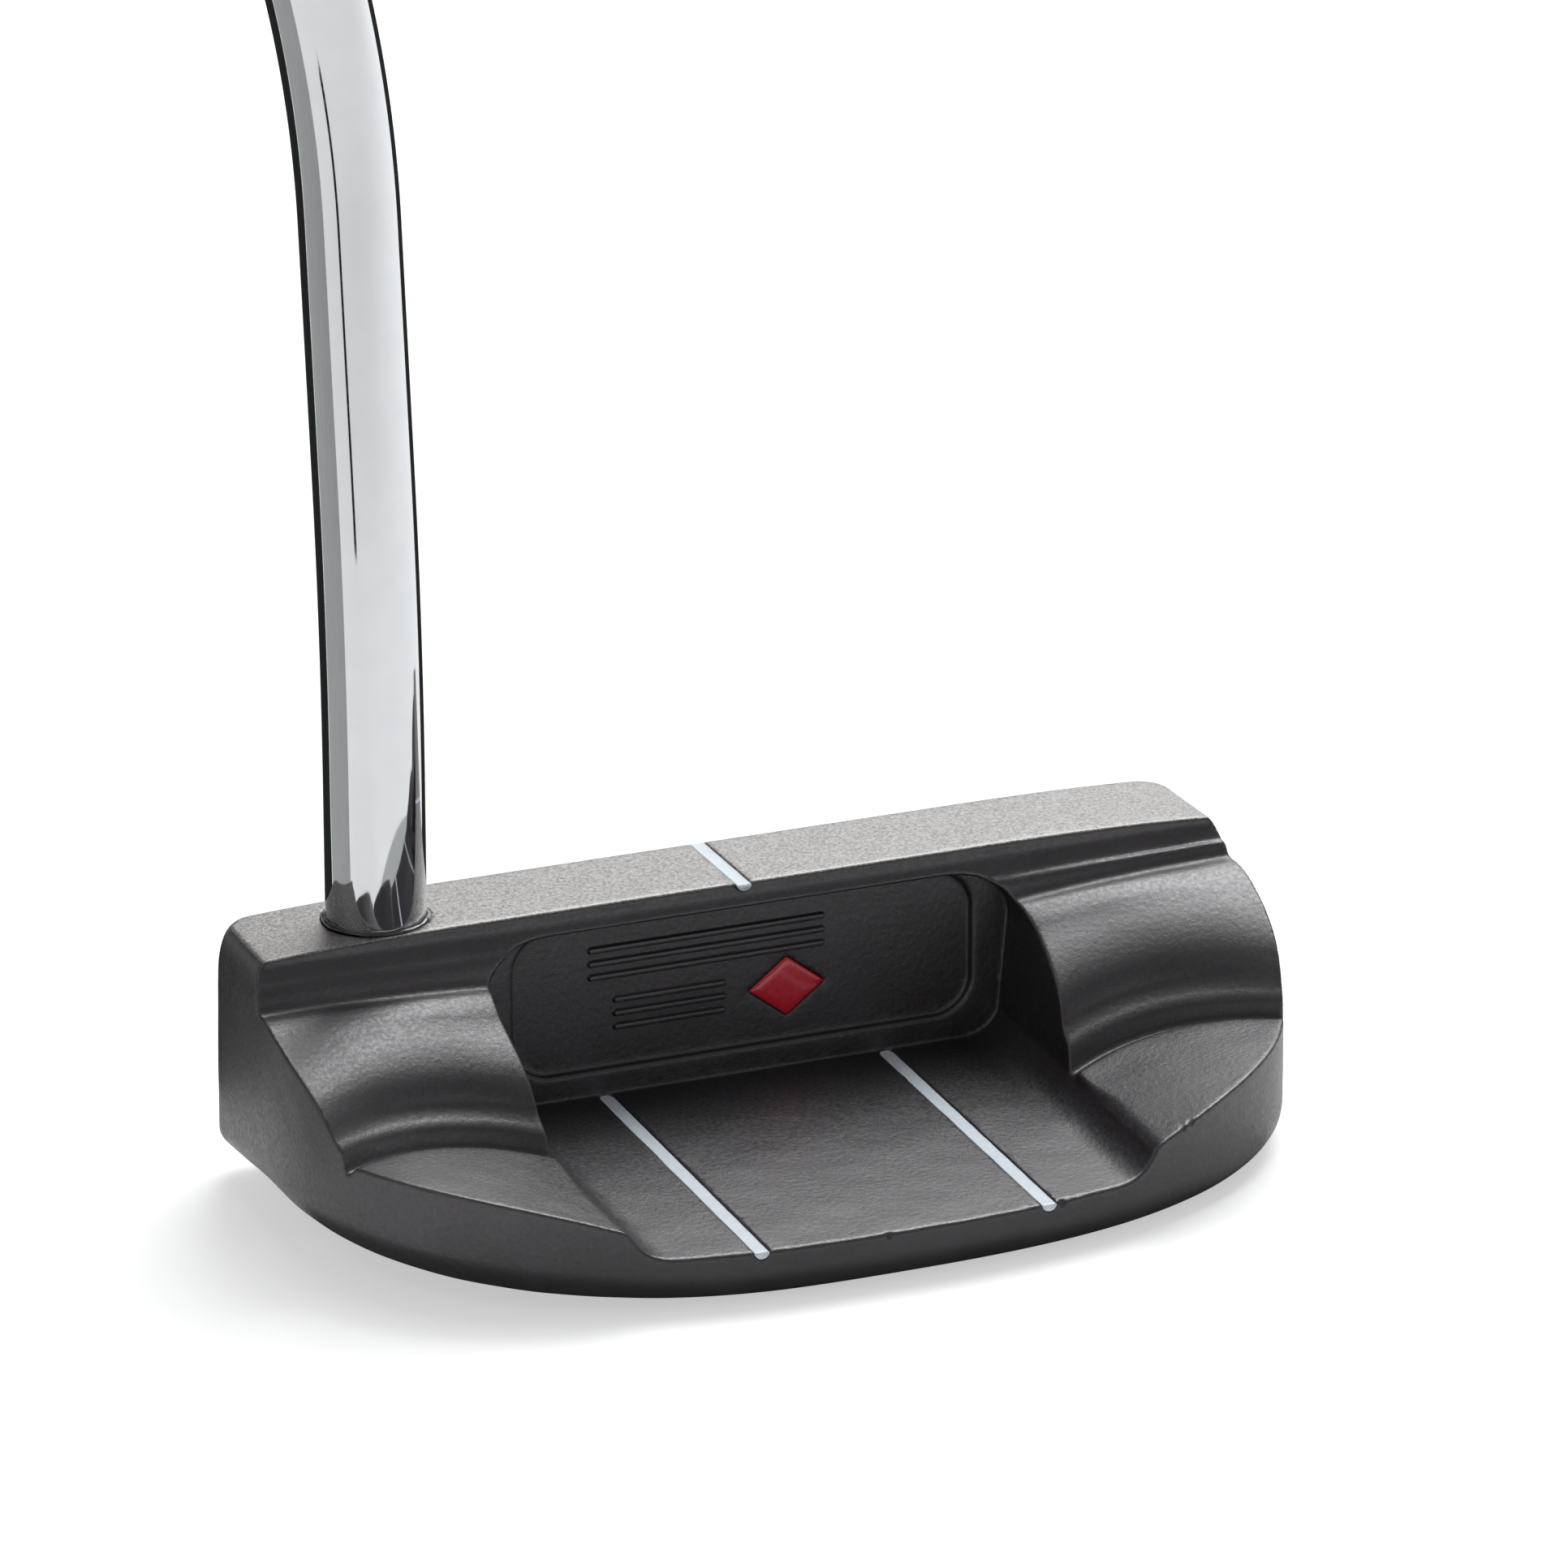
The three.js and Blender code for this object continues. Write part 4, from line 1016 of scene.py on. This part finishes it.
def casting_material():
    """Black satin paint on a casting, with the top line and the strike face milled bare."""
    n = Nodes("black_casting", IOR=1.78, Specular_Tint=(1.0, 0.96, 1.0, 1))
    x, y, z = n.position()
    past_flat = n.math("MAXIMUM", n.math("SUBTRACT", n.math("ABSOLUTE", x), TOP_CROWN_START), 0.0)
    crown = n.math("DIVIDE", n.math("POWER", past_flat, 2.0), 2 * TOP_CROWN_R)
    above = n.math("ADD", n.math("SUBTRACT", z, TOP_Z), crown)
    ragged = n.math("MULTIPLY", n.math("SUBTRACT", n.noise(0.9, 3.0), 0.5), 0.16)
    top = n.ramp(n.math("ADD", above, ragged), -0.2, -0.12)
    ahead = n.math(
        "ADD",
        n.math("MULTIPLY", n.math("SUBTRACT", y, FACE_TOP_Y), math.cos(LOFT)),
        n.math("MULTIPLY", n.math("SUBTRACT", z, TOP_Z), math.sin(LOFT)),
    )
    face = n.ramp(n.math("ADD", ahead, ragged), -0.16, -0.08)
    bare = n.math("MAXIMUM", top, face)

    grain = n.noise(0.16, 3.0, 0.7)
    orange_peel = n.noise(0.55, 2.0)
    patches = n.noise(7.0, 3.0)
    paint = n.mix(n.ramp(patches, 0.35, 0.65), (0.0088, 0.0068, 0.0086), (0.0132, 0.0108, 0.0130))
    paint = n.mix(n.ramp(grain, 0.62, 0.78), paint, (0.026, 0.025, 0.025))
    specks = n.math("MULTIPLY", n.spots(2.4, 0.05), n.ramp(n.noise(5.0), 0.5, 0.6))
    paint = n.mix(specks, paint, (0.12, 0.115, 0.1))
    edge = n.add("ShaderNodeAttribute", attribute_name="edge").outputs["Fac"]
    worn = n.math("MULTIPLY", n.ramp(edge, 0.42, 0.7), n.ramp(n.noise(0.9, 4.0), 0.42, 0.62))
    paint = n.mix(n.math("MULTIPLY", worn, 0.4), paint, (0.1, 0.093, 0.083))

    sparkle = n.noise(0.3, 3.0, 0.75)
    blasted = n.mix(n.ramp(sparkle, 0.3, 0.7), (0.125, 0.12, 0.117), (0.36, 0.346, 0.336))
    cut = n.mix(n.ramp(sparkle, 0.3, 0.7), (0.42, 0.42, 0.41), (0.56, 0.56, 0.545))
    colour = n.mix(bare, paint, n.mix(face, blasted, cut))
    paint_roughness = n.ramp(n.noise(0.4, 2.0), 0.3, 0.7, 0.36, 0.47)
    roughness = n.blend(bare, paint_roughness, n.ramp(sparkle, 0.3, 0.7, 0.4, 0.6))
    metallic = n.math("MULTIPLY", bare, 0.9)

    height = n.math("ADD", n.math("MULTIPLY", grain, 0.5), orange_peel)
    rough_cast = n.bump(height, 0.034)
    below = n.math("SUBTRACT", z, MILLING_CENTRE_Z)
    reach = n.math("SQRT", n.math("ADD", n.math("MULTIPLY", x, x), n.math("MULTIPLY", below, below)))
    passes = n.math("SINE", n.math("MULTIPLY", reach, 2 * math.pi / MILLING_PITCH))
    milled = n.bump(n.math("MULTIPLY", n.math("ADD", passes, 1.0), face), 0.016, rough_cast)
    return n.surface(colour, roughness, metallic, milled)


def white_paint_material():
    n = Nodes("white_paint", IOR=1.5)
    tone = n.mix(n.noise(0.8, 3.0), (0.55, 0.6, 0.68), (0.63, 0.675, 0.74))
    roughness = n.ramp(n.noise(0.5), 0.3, 0.7, 0.32, 0.48)
    return n.surface(tone, roughness, normal=n.bump(n.noise(0.5, 3.0), 0.012))


def enamel_material():
    n = Nodes("red_enamel", IOR=1.5, Coat_Weight=0.6, Coat_Roughness=0.08)
    tone = n.mix(n.noise(0.9, 3.0), (0.5, 0.006, 0.022), (0.66, 0.012, 0.036))
    roughness = n.ramp(n.noise(0.6), 0.3, 0.7, 0.2, 0.34)
    return n.surface(tone, roughness, normal=n.bump(n.noise(0.7, 2.0), 0.015))


def chrome_material():
    n = Nodes("chrome_shaft")
    tone = n.mix(n.noise(3.0, 2.0), (0.6, 0.605, 0.625), (0.66, 0.665, 0.685))
    roughness = n.ramp(n.noise(0.6, 4.0, 0.6), 0.3, 0.75, 0.035, 0.075)
    return n.surface(tone, roughness, 1.0, n.bump(n.noise(6.0, 1.0), 0.004))


def epoxy_material():
    n = Nodes("epoxy", IOR=1.55, Coat_Weight=0.4, Coat_Roughness=0.06)
    tone = n.mix(n.noise(0.4), (0.008, 0.008, 0.009), (0.02, 0.019, 0.02))
    roughness = n.ramp(n.noise(0.3), 0.3, 0.7, 0.1, 0.25)
    return n.surface(tone, roughness, normal=n.bump(n.noise(0.35, 3.0), 0.03))


def rubber_material():
    n = Nodes("grip_rubber", IOR=1.5)
    tone = n.mix(n.noise(2.5, 3.0), (0.011, 0.011, 0.012), (0.02, 0.02, 0.021))
    roughness = n.ramp(n.noise(0.4, 2.0), 0.3, 0.7, 0.55, 0.72)
    return n.surface(tone, roughness, normal=n.bump(n.noise(0.22, 3.0), 0.02))


def tape_material():
    n = Nodes("tape")
    weave = n.noise(0.3, 3.0, 0.6, stretch=(1, 1, 0.1))
    tone = n.mix(weave, (0.6, 0.47, 0.27), (0.78, 0.66, 0.43))
    return n.surface(tone, n.ramp(weave, 0.3, 0.7, 0.6, 0.85), normal=n.bump(weave, 0.03))


# ---------------- studio and camera

STUDIO_FLOOR_HALF_SIZE = 15000.0
STUDIO_FLOOR_Z = -0.1
STUDIO_FLOOR_GLOW = 0.5
LIGHT_COLOUR = (0.97, 1.0, 0.985)
HORIZON_STRENGTH = 0.9
HORIZON_FADES = (0.06, 0.25)        # sines of the angles above it
WORLD_STRENGTH = 0.14
FLAG_Z = -0.05
FLAG_POINTS = 24


def stage_piece(name, points, faces, material):
    """A piece of the studio, from points in millimetres."""
    mesh = bpy.data.meshes.new(name)
    mesh.from_pydata((np.asarray(points) * MM).tolist(), [], faces)
    mesh.materials.append(material)
    piece = bpy.data.objects.new(name, mesh)
    bpy.context.scene.collection.objects.link(piece)
    return piece


def add_floor():
    corners = [(x * STUDIO_FLOOR_HALF_SIZE, y * STUDIO_FLOOR_HALF_SIZE, STUDIO_FLOOR_Z)
               for x, y in ((-1, -1), (1, -1), (1, 1), (-1, 1))]
    n = Nodes("pale_floor", Emission_Color=(1, 1, 1, 1), Emission_Strength=STUDIO_FLOOR_GLOW)
    tone = n.mix(n.noise(40.0, 2.0), (0.57, 0.57, 0.57), (0.59, 0.59, 0.59))
    stage_piece("studio_floor", corners, [(0, 1, 2, 3)], n.surface(tone, 0.7))


def add_flag(name, centre, from_angle, to_angle, near, far, shade):
    """A card lying round a centre on the floor that only shiny surfaces see, as a dark stripe.
    Angles are in degrees from the camera's side round towards the toe, distances in millimetres."""
    turn = -math.pi / 2 - CAMERA_AZIMUTH + np.radians(np.linspace(from_angle, to_angle, FLAG_POINTS))
    ring = np.stack([np.cos(turn), np.sin(turn)], axis=1)
    points = np.concatenate([near * ring, far * ring]) + centre
    points = np.concatenate([points, np.full((len(points), 1), FLAG_Z)], axis=1)
    faces = [(i, i + FLAG_POINTS, i + FLAG_POINTS + 1, i + 1) for i in range(FLAG_POINTS - 1)]
    n = Nodes(name, Specular_IOR_Level=0.0)
    tone = n.mix(n.noise(30.0), (shade * 0.9,) * 3, (shade * 1.1,) * 3)
    card = stage_piece(name, points, faces, n.surface(tone, 0.8))
    for ray in ("camera", "diffuse", "transmission", "volume_scatter", "shadow"):
        setattr(card, "visible_" + ray, False)


def add_softbox(name, azimuth, elevation, distance, width, height, radiance):
    """A rectangular soft light of that brightness, facing the head. Azimuth is in degrees from
    the +Y axis towards the toe, and sizes are in metres."""
    light = bpy.data.lights.new(name, "AREA")
    light.shape = "RECTANGLE"
    light.size = width
    light.size_y = height
    light.energy = radiance * width * height * math.pi
    light.color = LIGHT_COLOUR
    a, e = math.radians(azimuth), math.radians(elevation)
    outward = Vector((math.sin(a) * math.cos(e), math.cos(a) * math.cos(e), math.sin(e)))
    lamp = bpy.data.objects.new(name, light)
    lamp.location = outward * distance
    lamp.rotation_euler = outward.to_track_quat("Z", "Y").to_euler()
    bpy.context.scene.collection.objects.link(lamp)


def add_world():
    """A white studio, brightest along the horizon."""
    world = bpy.data.worlds.new("studio")
    world.use_nodes = True
    nodes, links = world.node_tree.nodes, world.node_tree.links
    split = nodes.new("ShaderNodeSeparateXYZ")
    links.new(nodes.new("ShaderNodeTexCoord").outputs["Generated"], split.inputs[0])
    fade = nodes.new("ShaderNodeMapRange")
    settings = (*HORIZON_FADES, HORIZON_STRENGTH, WORLD_STRENGTH)
    for socket, value in zip(("From Min", "From Max", "To Min", "To Max"), settings):
        fade.inputs[socket].default_value = value
    links.new(split.outputs["Z"], fade.inputs["Value"])
    links.new(fade.outputs["Result"], nodes["Background"].inputs["Strength"])
    nodes["Background"].inputs["Color"].default_value = (1.0, 1.0, 1.0, 1)
    bpy.context.scene.world = world


CAMERA_AIM = (8.07, 22.67, TOP_Z + 5.03)
CAMERA_AZIMUTH = math.radians(22.814)    # from the -Y axis towards -X
CAMERA_ELEVATION = math.radians(20.669)
CAMERA_ROLL = math.radians(-0.084)
CAMERA_DISTANCE = 1012.68
CAMERA_LENS = 247.48
CAMERA_SENSOR = 36.0
CAMERA_CLIP_END = 50.0                   # in metres


def add_camera():
    a, e = CAMERA_AZIMUTH, CAMERA_ELEVATION
    ahead = Vector((math.sin(a) * math.cos(e), math.cos(a) * math.cos(e), -math.sin(e)))
    right = Vector((math.cos(a), -math.sin(a), 0))
    up = right.cross(ahead)
    tilted_right = right * math.cos(CAMERA_ROLL) + up * math.sin(CAMERA_ROLL)
    tilted_up = up * math.cos(CAMERA_ROLL) - right * math.sin(CAMERA_ROLL)
    place = (Vector(CAMERA_AIM) - ahead * CAMERA_DISTANCE) * MM
    camera = bpy.data.objects.new("camera", bpy.data.cameras.new("camera"))
    turn = Matrix((tilted_right, tilted_up, -ahead)).transposed().to_4x4()
    camera.matrix_world = Matrix.Translation(place) @ turn
    camera.data.lens = CAMERA_LENS
    camera.data.sensor_width = CAMERA_SENSOR
    camera.data.clip_end = CAMERA_CLIP_END
    bpy.context.scene.collection.objects.link(camera)
    bpy.context.scene.camera = camera


# ---------------- the scene

SHAFT_FOOT = (TIP_X, TIP_Y)
FLAGS = (
    # name, centre, from and to angle, near and far edge, shade
    ("dark_flag", SHAFT_FOOT, 136, 246, 30, 800, 0.02),
    ("grey_flag", SHAFT_FOOT, 248, 304, 30, 900, 0.42),
    ("thin_flag", SHAFT_FOOT, 336, 341, 300, 2500, 0.02),
    ("skirt_flag", (0, 0), -75, 100, 15, 54, 0.5),
)
SOFTBOXES = (
    # name, azimuth, elevation, distance, width, height, radiance
    ("key", 45, 52, 1.8, 1.1, 0.9, 7.2),
    ("high", 33, 70, 1.8, 1.0, 1.0, 3.5),
    ("back", 28, 38, 1.8, 0.9, 0.8, 0.7),
    ("low_back", 36, 21, 2.4, 1.6, 1.2, 1.3),
    ("front", 190, 62, 1.8, 2.6, 1.8, 0.2),
    ("toe_side", 95, 35, 1.8, 1.4, 1.0, 0.4),
    ("heel_side", -100, 40, 1.8, 1.4, 1.0, 0.6),
)

add_camera()
casting = casting_material()
rubber = rubber_material()
white = white_paint_material()
mark_edges(head_piece(casting))
shaft_piece(chrome_material())
epoxy_piece(epoxy_material())
grip_piece(rubber)
line_fill("sight_line_paint", "centre_sight_line", lambda y: (SIGHT_LINE_X, TOP_Z),
          FACE_TOP_Y - TOP_LINE_DEPTH - SIGHT_FILL_OVERRUN, FACE_TOP_Y - SIGHT_FILL_GAP, False, white)
for name, node, line_x in (("heel_line_paint", "heel_alignment_line", -LINE_X),
                           ("toe_line_paint", "toe_alignment_line", LINE_X)):
    line_fill(name, node, lambda y: (line_x, floor_height(y)),
              REAR_Y + FLOOR_FILL_GAP, LINE_FRONT_Y, True, white)
rib_piece(casting)
enamel_piece(enamel_material())
for node, material in (("grip_tape", tape_material()), ("grip_cap", rubber)):
    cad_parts[node].data.materials.clear()
    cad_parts[node].data.materials.append(material)

add_floor()
for flag in FLAGS:
    add_flag(*flag)
add_world()
for softbox in SOFTBOXES:
    add_softbox(*softbox)
bpy.context.scene.view_settings.view_transform = "Standard"
